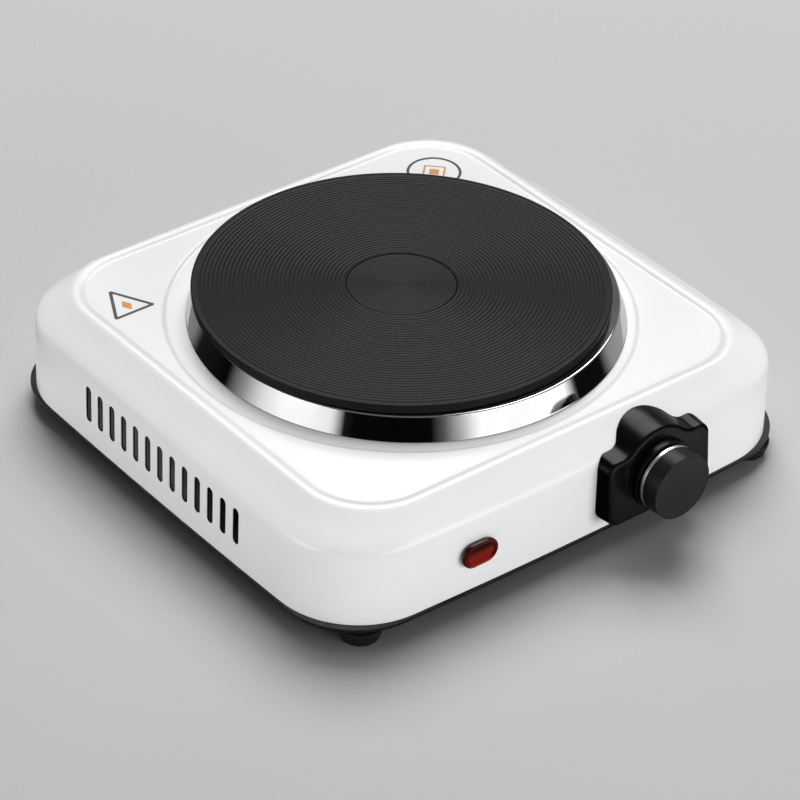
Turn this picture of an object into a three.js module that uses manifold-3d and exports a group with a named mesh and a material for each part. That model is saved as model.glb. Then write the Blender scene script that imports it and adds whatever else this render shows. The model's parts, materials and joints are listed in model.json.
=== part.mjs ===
// An electric hot plate with one cast-iron burner: a pressed-steel housing on a black base tray,
// a cast-iron plate in a polished trim ring, and a thermostat worked by a knob on the front.
// Millimetres, +Z up, the front of the object faces -Y. The origin is on the table under the middle
// of the object's bounding box.

import * as THREE from "three";
import { mergeVertices } from "three/addons/utils/BufferGeometryUtils.js";
import Module from "manifold-3d";

const wasm = await Module();
wasm.setup();

// ---------------------------------------------------------------- driving dimensions
const GAP = 0.3; // clearance between pieces that touch

// Housing, measured about the middle of the body
const HALF_WIDTH = 129.6; // at the lower edge, where the corners start
const HALF_DEPTH = 125.3;
const CORNER_RADIUS = 40.5;
const SIDE_BOW = { x: 0.9, y: 1.6 }; // how far the middle of a side stands out past its ends
const WALL_DRAFT = 0.019; // lean of the walls, inwards going up
const SKIN = 1; // sheet thickness
const HOUSING_BASE_Z = 10; // lower edge of the housing above the table
const WALL_TOP = 35; // the heights below are above the lower edge of the housing
const BEAD_TOP = 47.6;
const PANEL_HEIGHT = 46.5;
const SEAT_HEIGHT = 45.7;
const BEAD_HALF = 112.5; // from the middle to the crest of the raised bead
const BEAD_RADIUS = 33; // of the crest at the corners
const PANEL_HALF = 108.2;
const SEAT_RADIUS = 105;
const PLATE_HOLE_RADIUS = 86;

// Ventilation slots in the two side walls
const SLOT = { count: 13, pitch: 9.05, width: 4, length: 18, middle: 20 };

// Base tray and feet
const TRAY_SKIN = 1.2;
const TRAY_DROP = 2.8; // the tray's underside below the housing's lower edge
const TRAY_CORNER_RADIUS = 35; // smaller than the housing's, so its corners stand out
const FOOT = { x: 108.6, y: 112.6, radius: 8.3, topRadius: 10 };

// Burner
const PLATE_RADIUS = 92.5;
const PLATE_TOP_Z = 71.5;
const PLATE_RIM = 4.3; // thickness of the plate at its edge
const RING_OFFSET = { x: 1.9, y: -1.6 }; // the trim ring lies a little off the plate's axis
const RING_RADIUS = { top: 94, bottom: 97.3 };

// Control on the front
const KNOB = { x: 35, z: 33.7, radius: 15.4, length: 10.7, faceY: -148.8 };
const CONTROL = { halfWidth: 28.4, bottom: 16.2, shoulder: 47.6, archRadius: 21.6 };
const CONTROL_FACE = { y: -136.7, lean: 0.093 }; // the face at its lower edge, and how it leans back
const LAMP = { x: -58.2, z: 29, width: 18.2, height: 11.5, depth: 1.5 };
const GLAND = { x: 62, z: 26 };

// ---------------------------------------------------------------- colours
const FINISH = {
  enamel: { color: 0xf2f3f2, roughness: 0.28, metalness: 0 },
  blackPaint: { color: 0x0c0c0d, roughness: 0.45, metalness: 0 },
  castIron: { color: 0x242425, roughness: 0.55, metalness: 0.3 },
  polishedSteel: { color: 0xd9dadb, roughness: 0.08, metalness: 1 },
  blackPlastic: { color: 0x141415, roughness: 0.3, metalness: 0 },
  zincSteel: { color: 0xb4b7ba, roughness: 0.4, metalness: 1 },
  ceramic: { color: 0xe6e0d2, roughness: 0.6, metalness: 0 },
  rubber: { color: 0x101010, roughness: 0.8, metalness: 0 },
  brass: { color: 0xc2a14d, roughness: 0.35, metalness: 1 },
  redLens: { color: 0x9c1208, roughness: 0.12, metalness: 0 },
  neonGlass: { color: 0xf0c8a8, roughness: 0.1, metalness: 0 },
  sleeveWhite: { color: 0xdedad0, roughness: 0.7, metalness: 0 },
  wireBrown: { color: 0x5a3420, roughness: 0.55, metalness: 0 },
  wireBlue: { color: 0x2a4f9a, roughness: 0.55, metalness: 0 },
  wireEarth: { color: 0x7d9a2e, roughness: 0.55, metalness: 0 },
  wireRed: { color: 0x9a2f24, roughness: 0.55, metalness: 0 },
};

// ---------------------------------------------------------------- solids and booleans
// A closed geometry as a solid that can be joined to others and cut.
function solidOf(geometry) {
  const bare = geometry.clone();
  bare.deleteAttribute("normal");
  bare.deleteAttribute("uv");
  const merged = mergeVertices(bare, 1e-4);
  return new wasm.Manifold(
    new wasm.Mesh({
      numProp: 3,
      vertProperties: merged.attributes.position.array,
      triVerts: new Uint32Array(merged.index.array),
    }),
  );
}

function geometryOf(solid) {
  const mesh = solid.getMesh();
  const geometry = new THREE.BufferGeometry();
  geometry.setAttribute("position", new THREE.BufferAttribute(mesh.vertProperties, 3));
  geometry.setIndex(new THREE.BufferAttribute(mesh.triVerts, 1));
  const flat = geometry.toNonIndexed();
  flat.computeVertexNormals();
  return flat;
}

// `body` with every geometry in `tools` taken away.
function cut(body, ...tools) {
  const solid = tools.reduce((rest, tool) => rest.subtract(solidOf(tool)), solidOf(body));
  return geometryOf(solid);
}

function join(...bodies) {
  return geometryOf(bodies.map(solidOf).reduce((all, body) => all.add(body)));
}

// ---------------------------------------------------------------- shapes
const points = (list) => list.map(([x, y]) => new THREE.Vector2(x, y));

// A turned piece. The profile is a list of [radius, height] that starts and ends on the axis, or
// closes on itself, and runs anticlockwise with the radius to the right and the height up.
function turned(profile, segments = 24) {
  return new THREE.LatheGeometry(points(profile), segments);
}

// The same, with its axis along Z instead of Y.
function turnedZ(profile, segments) {
  return turned(profile, segments).rotateX(Math.PI / 2);
}

// A turned piece with a hole through it, as a band between two radii and two heights.
const band = (inner, outer, low, high) => [
  [inner, low],
  [outer, low],
  [outer, high],
  [inner, high],
  [inner, low],
];

const disc = (radius, low, high) => [
  [0, low],
  [radius, low],
  [radius, high],
  [0, high],
];

// A box from its lowest corner to its highest.
function block([x0, y0, z0], [x1, y1, z1]) {
  const box = new THREE.BoxGeometry(x1 - x0, y1 - y0, z1 - z0);
  return box.translate((x0 + x1) / 2, (y0 + y1) / 2, (z0 + z1) / 2);
}

// A flat outline pushed along +Z.
function extruded(shape, depth, curveSegments = 6) {
  return new THREE.ExtrudeGeometry(shape, { depth, curveSegments, bevelEnabled: false });
}

// The outline of a slot with round ends, standing up when it is taller than it is wide.
function stadium(width, height) {
  const radius = Math.min(width, height) / 2;
  const x = width / 2 - radius;
  const y = height / 2 - radius;
  const shape = new THREE.Shape();
  if (width > height) {
    shape.absarc(x, 0, radius, -Math.PI / 2, Math.PI / 2);
    shape.absarc(-x, 0, radius, Math.PI / 2, (3 * Math.PI) / 2);
  } else {
    shape.absarc(0, y, radius, 0, Math.PI);
    shape.absarc(0, -y, radius, Math.PI, 2 * Math.PI);
  }
  return shape;
}

// A slot-shaped bar along X from x0 to x1, its outline in the YZ plane.
function barAlongX(shape, x0, x1, curveSegments) {
  return extruded(shape, x1 - x0, curveSegments)
    .rotateZ(Math.PI / 2)
    .rotateY(Math.PI / 2)
    .translate(x0, 0, 0);
}

// A bar along Y from y0 to y1, its outline in the XZ plane with Z up.
function barAlongY(shape, y0, y1, curveSegments) {
  return extruded(shape, y1 - y0, curveSegments)
    .rotateX(Math.PI / 2)
    .translate(0, y1, 0);
}

// ---------------------------------------------------------------- lofted pressings
// Distance from the middle to a rounded rectangle's edge, in the direction (cos, sin).
function rectangleReach({ x, y, radius }, cos, sin) {
  const c = Math.abs(cos);
  const s = Math.abs(sin);
  const flatX = x - radius;
  const flatY = y - radius;
  if (c * flatY >= s * x) return x / c;
  if (s * flatX >= c * y) return y / s;
  const along = c * flatX + s * flatY;
  return along + Math.sqrt(along * along - flatX * flatX - flatY * flatY + radius * radius);
}

// A point of one station's outline. `bow` pushes the middles of the sides outwards.
function outlinePoint(station, angle) {
  const cos = Math.cos(angle);
  const sin = Math.sin(angle);
  const reach = station.x === 0 ? 0 : rectangleReach(station, cos, sin);
  const point = new THREE.Vector3(reach * cos, reach * sin, station.z);
  const bow = station.bow ?? 0;
  if (bow > 0) {
    const flatX = station.x - station.radius;
    const flatY = station.y - station.radius;
    const acrossX = Math.max(0, 1 - (point.x / flatX) ** 2);
    const acrossY = Math.max(0, 1 - (point.y / flatY) ** 2);
    point.x += Math.sign(cos) * bow * SIDE_BOW.x * acrossY;
    point.y += Math.sign(sin) * bow * SIDE_BOW.y * acrossX;
  }
  point.y += station.shift ?? 0;
  return point;
}

// A skin through a list of stations that starts and ends on the axis or closes on itself. The
// angles crowd together at the four corners, where the outline turns.
function lofted(stations, perQuadrant = 12) {
  const segments = 4 * perQuadrant;
  const geometry = new THREE.LatheGeometry(points(stations.map(({ x, z }) => [x, z])), segments);
  const position = geometry.attributes.position;
  for (let i = 0; i <= segments; i++) {
    const quadrant = Math.floor((i % segments) / perQuadrant);
    const t = ((i % perQuadrant) / perQuadrant) * 2 - 1;
    const angle = (Math.PI / 4) * (2 * quadrant + 1 + 0.36 * t + 0.64 * t ** 3);
    stations.forEach((station, j) => {
      const point = outlinePoint(station, angle);
      position.setXYZ(i * stations.length + j, point.x, point.y, point.z);
    });
  }
  return geometry;
}

// The stations `distance` to the inside of a list of stations, measured square to the profile.
function inset(stations, distance) {
  return stations.map((station, j) => {
    const before = stations[Math.max(0, j - 1)];
    const after = stations[Math.min(stations.length - 1, j + 1)];
    const run = before.y - after.y;
    const rise = after.z - before.z;
    const length = Math.hypot(run, rise);
    const inward = (distance * rise) / length;
    return {
      ...station,
      x: station.x - inward,
      y: station.y - inward,
      z: station.z - (distance * run) / length,
      radius: station.radius - inward,
    };
  });
}

// The outside of the housing from its lower edge up to the panel: a drafted wall, a soft crease, a
// shoulder that leans in, and the raised bead. `grown` makes the same form that much larger.
function housingOutside(grown = 0) {
  const crest = { x: BEAD_HALF, y: BEAD_HALF, radius: BEAD_RADIUS };
  const shoulder = (share, height) => ({
    x: THREE.MathUtils.lerp(HALF_WIDTH, crest.x, share),
    y: THREE.MathUtils.lerp(HALF_DEPTH, crest.y, share),
    radius: THREE.MathUtils.lerp(CORNER_RADIUS, crest.radius, share),
    z: height,
    bow: 1 - share,
  });
  const drafted = (height) => {
    const lean = WALL_DRAFT * height;
    return {
      x: HALF_WIDTH - lean,
      y: HALF_DEPTH - lean,
      radius: CORNER_RADIUS - lean,
      z: height,
      bow: 1,
    };
  };
  const stations = [
    drafted(0),
    drafted(WALL_TOP - 1),
    shoulder(0.1, WALL_TOP + 1.2),
    shoulder(0.2, WALL_TOP + 2.9),
    shoulder(0.42, WALL_TOP + 6),
    shoulder(0.66, WALL_TOP + 8.9),
    shoulder(0.88, WALL_TOP + 11.5),
    shoulder(1, BEAD_TOP),
    { x: BEAD_HALF - 2.2, y: BEAD_HALF - 2.2, radius: BEAD_RADIUS - 1.5, z: BEAD_TOP - 0.3 },
    { x: PANEL_HALF, y: PANEL_HALF, radius: BEAD_RADIUS - 3, z: PANEL_HEIGHT },
  ];
  return stations.map((station) => ({
    ...station,
    x: station.x + grown,
    y: station.y + grown,
    radius: station.radius + grown,
    z: station.z + HOUSING_BASE_Z + grown,
  }));
}

const circle = (radius, z) => ({ x: radius, y: radius, radius, z });
const onAxis = (z) => circle(0, z);

// The round seat pressed into the panel, down to the edge of the hole for the plate.
function seatStations() {
  const seat = HOUSING_BASE_Z + SEAT_HEIGHT;
  return [
    circle(SEAT_RADIUS, HOUSING_BASE_Z + PANEL_HEIGHT),
    circle(SEAT_RADIUS - 1.6, seat),
    circle(PLATE_HOLE_RADIUS, seat),
  ];
}

// The solid that the outside of the housing encloses, for trimming what is fitted against it.
function housingForm() {
  const outside = housingOutside(GAP);
  const low = { ...outside[0], z: -GAP };
  return lofted([onAxis(low.z), low, ...outside, onAxis(outside.at(-1).z)]);
}

// ---------------------------------------------------------------- housing and base
const SLOT_Z = HOUSING_BASE_Z + SLOT.middle;

function sideSlots(x0, x1) {
  const shape = stadium(SLOT.width, SLOT.length);
  return Array.from({ length: SLOT.count }, (_, i) => {
    const y = (i - (SLOT.count - 1) / 2) * SLOT.pitch;
    return barAlongX(shape, x0, x1, 3).translate(0, y, SLOT_Z);
  });
}

// Four tabs bent in at the lower edge of the walls take the screws that hold the tray.
const TABS = [
  [-88, -1],
  [88, -1],
  [-88, 1],
  [88, 1],
].map(([x, side]) => ({ x, side, y: side * (HALF_DEPTH - 9) }));

function housingTab({ x, side, y }) {
  const wall = side * (HALF_DEPTH - 0.2);
  const low = HOUSING_BASE_Z + 0.2;
  const inner = y - side * 7;
  const tab = block(
    [x - 8, Math.min(inner, wall), low],
    [x + 8, Math.max(inner, wall), low + SKIN + 0.2],
  );
  const hole = turnedZ(disc(1.7, low - 1, low + 3), 12).translate(x, y, 0);
  return cut(tab, hole);
}

function topHousing() {
  const outside = [...housingOutside(), ...seatStations()];
  // The inside follows the outside through every other station, and has the same ends.
  const inside = inset(outside, SKIN).filter((_, j) => j % 2 === 0).reverse();
  const skin = lofted([...outside, ...inside, outside[0]]);
  const reach = HALF_WIDTH + 5;
  const openings = [
    ...sideSlots(-reach, -HALF_WIDTH + 8),
    ...sideSlots(HALF_WIDTH - 8, reach),
    turned(disc(6.5, -135, -115), 24).translate(KNOB.x, 0, KNOB.z),
    ...THERMOSTAT_SCREWS.map(([x, z]) => turned(disc(2.2, -135, -115), 12).translate(x, 0, z)),
    barAlongY(stadium(LAMP.width - 3.6, LAMP.height - 3.6), -135, -115).translate(LAMP.x, 0, LAMP.z),
    turned(disc(GLAND_HOLE, 115, 135), 24).translate(GLAND.x, 0, GLAND.z),
  ];
  return cut(join(skin, ...TABS.map(housingTab)), ...openings);
}

const TRAY_TOP_Z = HOUSING_BASE_Z - GAP;
const TRAY_LOW_Z = HOUSING_BASE_Z - TRAY_DROP;
const TRAY_FLOOR_Z = TRAY_LOW_Z + TRAY_SKIN; // top of the tray's flat floor

// A flat pan with a hemmed rim that stands under the housing's edge.
function baseTray() {
  const rim = (out, z) => ({
    x: HALF_WIDTH + 0.4 - out,
    y: HALF_DEPTH + 0.4 - out,
    radius: TRAY_CORNER_RADIUS - out,
    z,
    bow: 1,
  });
  const pan = lofted([
    onAxis(TRAY_LOW_Z),
    rim(0.5, TRAY_LOW_Z),
    rim(0, TRAY_LOW_Z + 0.6),
    rim(0, TRAY_TOP_Z - 0.4),
    rim(0.4, TRAY_TOP_Z),
    rim(2.2, TRAY_TOP_Z),
    rim(2.2, TRAY_FLOOR_Z),
    onAxis(TRAY_FLOOR_Z),
  ]);
  const slots = Array.from({ length: 7 }, (_, i) =>
    extruded(stadium(60, 4), 6, 3).translate(0, (i - 3) * 12, TRAY_LOW_Z - 2),
  );
  const holes = [
    ...TABS.map(({ x, y }) => [x, y, 2]),
    ...FEET.map(({ x, y }) => [x, y, 2.2]),
    [EARTH.x, EARTH.y, 2.2],
  ];
  const drilled = holes.map(([x, y, radius]) =>
    turnedZ(disc(radius, TRAY_LOW_Z - 2, TRAY_TOP_Z), 12).translate(x, y, 0),
  );
  return cut(pan, ...slots, ...drilled);
}

const FEET = ["front_left", "front_right", "rear_left", "rear_right"].map((place) => ({
  place,
  x: place.endsWith("left") ? -FOOT.x : FOOT.x,
  y: place.startsWith("front") ? -FOOT.y : FOOT.y,
}));

// A rubber foot with a counterbore for its screw.
function foot() {
  const top = TRAY_LOW_Z - GAP;
  return turnedZ(
    [
      [4.6, 0],
      [FOOT.radius - 0.6, 0],
      [FOOT.radius, 0.7],
      [FOOT.topRadius, top - 1.4],
      [FOOT.topRadius, top],
      [2.3, top],
      [2.3, 3.6],
      [4.6, 3.6],
      [4.6, 0],
    ],
    16,
  );
}

// A pan-head screw with its head at the bottom and its axis up. `under` is the height of the
// bearing face under the head.
function panScrew(headRadius, headHeight, shankRadius, under, tip) {
  return [
    [0, under - headHeight],
    [headRadius * 0.7, under - headHeight],
    [headRadius, under - headHeight * 0.55],
    [headRadius, under],
    [shankRadius, under],
    [shankRadius, tip],
    [0, tip],
  ];
}

const footScrew = () => turnedZ(panScrew(4, 2.2, 1.9, 3.6 - GAP, TRAY_FLOOR_Z + 3), 8);
const baseScrew = () => turnedZ(panScrew(3.2, 1.8, 1.4, TRAY_LOW_Z - GAP, TRAY_TOP_Z + 5), 8);

// ---------------------------------------------------------------- burner
const PLATE_RIM_Z = PLATE_TOP_Z - PLATE_RIM;
const COIL_Z = 61;
const COVER_Z = 55.2; // top of the cover under the coil

// Cast iron: a flat top with a slightly lower disc in the middle, a thin rim, and an underside
// with a channel for the heating coil.
function hotPlate() {
  const shoulder = PLATE_HOLE_RADIUS - 4;
  return turnedZ(
    [
      [0, COVER_Z + 1],
      [13, COVER_Z + 1],
      [14, COVER_Z + 2],
      [36, COIL_Z + 4.2],
      [shoulder - 6, COIL_Z + 4.2],
      [shoulder - 5, COVER_Z + GAP],
      [shoulder, COVER_Z + GAP],
      [shoulder + 0.5, PLATE_RIM_Z],
      [PLATE_RADIUS - 0.5, PLATE_RIM_Z],
      [PLATE_RADIUS, PLATE_RIM_Z + 0.6],
      [PLATE_RADIUS, PLATE_TOP_Z - 0.8],
      [PLATE_RADIUS - 0.8, PLATE_TOP_Z],
      [25, PLATE_TOP_Z],
      [24.4, PLATE_TOP_Z - 0.3],
      [0, PLATE_TOP_Z - 0.3],
    ],
    48,
  );
}

// A polished skirt with a rolled lip that the plate's rim rests over.
function trimRing() {
  const top = PLATE_RIM_Z - GAP;
  const seat = HOUSING_BASE_Z + SEAT_HEIGHT + GAP;
  const wall = 0.9;
  return turnedZ(
    [
      [RING_RADIUS.bottom - wall, seat],
      [RING_RADIUS.bottom, seat],
      [RING_RADIUS.bottom - 0.5, seat + 1.2],
      [RING_RADIUS.top + 0.3, top - 1.2],
      [RING_RADIUS.top, top - 0.3],
      [RING_RADIUS.top - 0.7, top],
      [RING_RADIUS.top - 7.4, top],
      [RING_RADIUS.top - 7.4, top - wall],
      [RING_RADIUS.top - 1.6, top - wall],
      [RING_RADIUS.bottom - wall - 0.6, seat + 1.2],
      [RING_RADIUS.bottom - wall, seat],
    ],
    40,
  ).translate(RING_OFFSET.x, RING_OFFSET.y, 0);
}

// The sheathed heating coil, a flat spiral under the plate.
function heatingCoil() {
  const turns = 1.8;
  const pitch = 12;
  const inner = 47;
  class Spiral extends THREE.Curve {
    getPoint(t, target = new THREE.Vector3()) {
      const angle = 2 * Math.PI * turns * t;
      const radius = inner + pitch * turns * t;
      return target.set(radius * Math.cos(angle), radius * Math.sin(angle), COIL_Z);
    }
  }
  return alongPath(new Spiral(), 3.2, 36, 6);
}

function roundShape(radius) {
  const shape = new THREE.Shape();
  shape.absarc(0, 0, radius, 0, 2 * Math.PI);
  return shape;
}

function alongPath(path, radius, steps, sides) {
  return new THREE.ExtrudeGeometry(roundShape(radius), {
    extrudePath: path,
    steps,
    curveSegments: sides / 2,
    bevelEnabled: false,
  });
}

const STUD_RADIUS = 4;
const BRACKET_Z = 44; // underside of the middle of the bracket
const BRACKET_SKIN = 1.6;
const TERMINAL = { x: 0, y: 54, spread: 7 }; // the plate's two terminals

function coilCover() {
  const low = COVER_Z - 1;
  const cover = turnedZ(band(15.5, PLATE_HOLE_RADIUS - 5, low, COVER_Z), 32);
  const holes = [-TERMINAL.spread, TERMINAL.spread].map((dx) =>
    turnedZ(disc(3.2, low - 1, COVER_Z + 1), 12).translate(TERMINAL.x + dx, TERMINAL.y, 0),
  );
  return cut(cover, ...holes);
}

// The stud hangs from the middle of the plate and takes the bracket and its nut.
function plateStud() {
  return turnedZ(
    [
      [0, 32],
      [STUD_RADIUS - 0.8, 32],
      [STUD_RADIUS, 32.8],
      [STUD_RADIUS, COVER_Z + 1 - GAP],
      [0, COVER_Z + 1 - GAP],
    ],
    16,
  );
}

// A strap under the deck: its two ends bear on the deck's underside, and the nut in the middle
// pulls the plate down against them.
function plateBracket() {
  const endTop = HOUSING_BASE_Z + SEAT_HEIGHT - SKIN - GAP;
  const end = 98;
  const bend = PLATE_HOLE_RADIUS - 12;
  const side = [
    [-end, endTop - BRACKET_SKIN],
    [-bend - 9, endTop - BRACKET_SKIN],
    [-bend, BRACKET_Z],
    [bend, BRACKET_Z],
    [bend + 9, endTop - BRACKET_SKIN],
    [end, endTop - BRACKET_SKIN],
    [end, endTop],
    [bend + 8.2, endTop],
    [bend - 0.8, BRACKET_Z + BRACKET_SKIN],
    [-bend + 0.8, BRACKET_Z + BRACKET_SKIN],
    [-bend - 8.2, endTop],
    [-end, endTop],
  ];
  const strap = barAlongY(new THREE.Shape(points(side)), -13, 13);
  const hole = turnedZ(disc(STUD_RADIUS + GAP, BRACKET_Z - 2, BRACKET_Z + 4), 16);
  return cut(strap, hole);
}

const WASHER_THICKNESS = 1.5;

const bracketWasher = () => {
  const top = BRACKET_Z - GAP;
  return turnedZ(band(STUD_RADIUS + GAP, 9, top - WASHER_THICKNESS, top), 24);
};

function hexNut(boreRadius, acrossFlats, low, high) {
  const nut = turnedZ(disc(acrossFlats / Math.sqrt(3), low, high), 6);
  return cut(nut, turnedZ(disc(boreRadius, low - 1, high + 1), 16));
}

function bracketNut() {
  const top = BRACKET_Z - WASHER_THICKNESS - 2 * GAP;
  return hexNut(STUD_RADIUS + GAP, 13, top - 6.5, top);
}

// The ceramic block that carries the plate's two terminals.
function terminalCeramic() {
  const top = COVER_Z - 1 - GAP;
  const body = block([-14, TERMINAL.y - 7, top - 9], [14, TERMINAL.y + 7, top]);
  const bores = [-TERMINAL.spread, TERMINAL.spread].map((dx) =>
    turnedZ(disc(2.2, top - 12, top + 2), 12).translate(TERMINAL.x + dx, TERMINAL.y, 0),
  );
  return cut(body, ...bores);
}

const terminalPin = () =>
  turnedZ(
    [
      [0, COVER_Z - 16],
      [1.8, COVER_Z - 16],
      [1.8, COIL_Z - 3.2 - GAP],
      [0, COIL_Z - 3.2 - GAP],
    ],
    10,
  );

// ---------------------------------------------------------------- knob and control housing
const KNOB_BACK_Y = KNOB.faceY + KNOB.length;
const TRIM_BAND = { front: KNOB_BACK_Y - 2.3, back: KNOB_BACK_Y };
const HUB_RADIUS = 5.4;
const SHAFT_RADIUS = 3;
const SHAFT_FLAT = 2.2; // from the axis to the flat of the D-shaped end
const NECK_RADIUS = KNOB.radius - 1.4;

// The D-shaped hole of the knob and the D-shaped end of the shaft differ by `clearance`.
function flatCutter(clearance, y0, y1) {
  return block([-8, y0, SHAFT_FLAT + clearance], [8, y1, 8]);
}

// Turned about Y with its face at -Y: a cap with a neck for the trim band and a hub inside.
function knobCap() {
  const face = KNOB.faceY;
  const hollow = face + 3;
  const cap = turned(
    [
      [0, face],
      [KNOB.radius - 0.7, face],
      [KNOB.radius, face + 0.7],
      [KNOB.radius, TRIM_BAND.front - GAP / 2],
      [NECK_RADIUS, TRIM_BAND.front - GAP / 2],
      [NECK_RADIUS, KNOB_BACK_Y],
      [NECK_RADIUS - 1.6, KNOB_BACK_Y],
      [NECK_RADIUS - 1.6, hollow],
      [HUB_RADIUS, hollow],
      [HUB_RADIUS, KNOB_BACK_Y],
      [0, KNOB_BACK_Y],
    ],
    48,
  );
  const bore = cut(
    turned(disc(SHAFT_RADIUS + 0.15, hollow, KNOB_BACK_Y + 1), 20),
    flatCutter(0.15, hollow - 1, KNOB_BACK_Y + 2),
  );
  return cut(cap, bore);
}

const knobTrimBand = () =>
  turned(band(NECK_RADIUS + GAP, KNOB.radius - 0.05, TRIM_BAND.front, TRIM_BAND.back), 48);

// A split spring ring that grips the hub on the shaft.
function knobSpringClip() {
  const y = KNOB_BACK_Y - 6;
  const ring = turned(band(HUB_RADIUS + GAP, HUB_RADIUS + 1.1, y, y + 4), 20);
  return cut(ring, block([-1.2, y - 1, -8], [1.2, y + 5, 0]));
}

// Outline of the control housing, in X about the knob's axis and Z about the table: a square-
// shouldered block with an arch over the knob.
function controlOutline(shrink = 0) {
  const half = CONTROL.halfWidth - shrink;
  const bottom = CONTROL.bottom + shrink;
  const shoulder = CONTROL.shoulder - shrink;
  const arch = CONTROL.archRadius - shrink;
  const corner = 5;
  const fillet = 9.5;
  // The fillet's circle touches the shoulder line from above and the arch from outside.
  const filletZ = shoulder + fillet;
  const filletX = Math.sqrt((arch + fillet) ** 2 - (filletZ - KNOB.z) ** 2);
  const touch = Math.atan2(filletZ - KNOB.z, filletX);
  const shape = new THREE.Shape();
  shape.absarc(half - corner, bottom + corner, corner, -Math.PI / 2, 0);
  shape.absarc(half - corner, shoulder - corner, corner, 0, Math.PI / 2);
  shape.absarc(filletX, filletZ, fillet, -Math.PI / 2, touch - Math.PI, true);
  shape.absarc(0, KNOB.z, arch, touch, Math.PI - touch);
  shape.absarc(-filletX, filletZ, fillet, -touch, -Math.PI / 2, true);
  shape.absarc(corner - half, shoulder - corner, corner, Math.PI / 2, Math.PI);
  shape.absarc(corner - half, bottom + corner, corner, Math.PI, (3 * Math.PI) / 2);
  return shape;
}

const BOSS_RADIUS = 16.2;
const THERMOSTAT_SCREWS = [
  [KNOB.x - 9.5, KNOB.z],
  [KNOB.x + 9.5, KNOB.z],
];

// A moulded block shaped to the housing's wall and shoulder behind it, with a leaning face, a
// round boss behind the knob, and three pockets behind.
function controlHousing() {
  const back = -100;
  const front = CONTROL_FACE.y - 4;
  const raw = barAlongY(controlOutline(), front, back, 5);
  // Everything in front of the leaning face is cut off.
  const leaning = block([-60, -40, -60], [60, 0, 60]);
  leaning.applyMatrix4(
    new THREE.Matrix4().makeShear(0, 0, 0, 0, 0, CONTROL_FACE.lean),
  );
  const face = leaning.translate(0, CONTROL_FACE.y, CONTROL.bottom);
  const bossFront = TRIM_BAND.back + GAP;
  const boss = turned(disc(BOSS_RADIUS, bossFront, -128), 40).translate(0, 0, KNOB.z);
  const pocket = (x0, x1, z0, z1) => block([x0, -131.5, z0], [x1, back - 1, z1]);
  const axisHoles = [
    turned(disc(HUB_RADIUS + 2, front, back - 1), 24).translate(0, 0, KNOB.z),
    ...THERMOSTAT_SCREWS.flatMap(([x, z]) => [
      turned(disc(2.2, front, back - 1), 12).translate(x - KNOB.x, 0, z),
      turned(disc(4.3, front, -132), 16).translate(x - KNOB.x, 0, z),
    ]),
  ];
  const moulded = cut(
    join(cut(raw, face), boss),
    pocket(-24.6, -14.4, 19.5, 44),
    pocket(14.4, 24.6, 19.5, 44),
    pocket(-9, 9, 19, 25.5),
    ...axisHoles,
  ).translate(KNOB.x, 0, 0);
  return cut(moulded, housingForm());
}

// ---------------------------------------------------------------- thermostat
const WALL_INNER_Y = -124.6; // just inside the front wall near the knob
const PLATE_FRONT_Y = WALL_INNER_Y + 0.6;
const SHAFT_END_Y = -112;
const STACK = { z: 14, radius: 5 }; // the ceramic stack below the shaft, measured down from it
const BLADE = { halfWidth: 4, thickness: 0.6 };
const PIN_END_Y = -105.5;
const ARM_Y = PIN_END_Y + GAP;
const FIXED_Y = ARM_Y + 5;
const BIMETAL_Y = FIXED_Y + 6;
const HINGE_Z = KNOB.z - STACK.z + STACK.radius + 1.2;

function thermostatPlate() {
  const z0 = KNOB.z - STACK.z - 6;
  const plate = block(
    [-15, PLATE_FRONT_Y, z0],
    [15, PLATE_FRONT_Y + 1.5, KNOB.z + 11],
  );
  const holes = [
    turned(disc(5.3, PLATE_FRONT_Y - 2, PLATE_FRONT_Y + 4), 20).translate(0, 0, KNOB.z),
    ...THERMOSTAT_SCREWS.map(([x, z]) =>
      turned(disc(2, PLATE_FRONT_Y - 2, PLATE_FRONT_Y + 4), 12).translate(x - KNOB.x, 0, z),
    ),
    turned(disc(1.9, PLATE_FRONT_Y - 2, PLATE_FRONT_Y + 4), 12).translate(0, 0, KNOB.z - STACK.z),
  ];
  return cut(plate, ...holes).translate(KNOB.x, 0, 0);
}

// The brass bush that the shaft turns in.
const thermostatBush = () =>
  turned(
    [
      [SHAFT_RADIUS + 0.08, PLATE_FRONT_Y - 1],
      [5, PLATE_FRONT_Y - 1],
      [5, PLATE_FRONT_Y + 1.5 + GAP],
      [7, PLATE_FRONT_Y + 1.5 + GAP],
      [7, SHAFT_END_Y - 5],
      [SHAFT_RADIUS + 0.08, SHAFT_END_Y - 5],
      [SHAFT_RADIUS + 0.08, PLATE_FRONT_Y - 1],
    ],
    24,
  );

// The shaft, with a flat at the knob's end and a collar behind the bush.
function thermostatShaft() {
  const front = KNOB.faceY + 3.4;
  const collar = SHAFT_END_Y - 5 + GAP;
  const shaft = turned(
    [
      [0, front],
      [SHAFT_RADIUS - 0.4, front],
      [SHAFT_RADIUS, front + 0.4],
      [SHAFT_RADIUS, collar],
      [SHAFT_RADIUS + 1.6, collar],
      [SHAFT_RADIUS + 1.6, collar + 2],
      [SHAFT_RADIUS - 0.6, collar + 2],
      [SHAFT_RADIUS - 0.6, SHAFT_END_Y],
      [0, SHAFT_END_Y],
    ],
    24,
  );
  return cut(shaft, flatCutter(0, front - 1, KNOB_BACK_Y));
}

const pushPin = () => turned(disc(1.6, SHAFT_END_Y + GAP, PIN_END_Y), 12);

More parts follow.
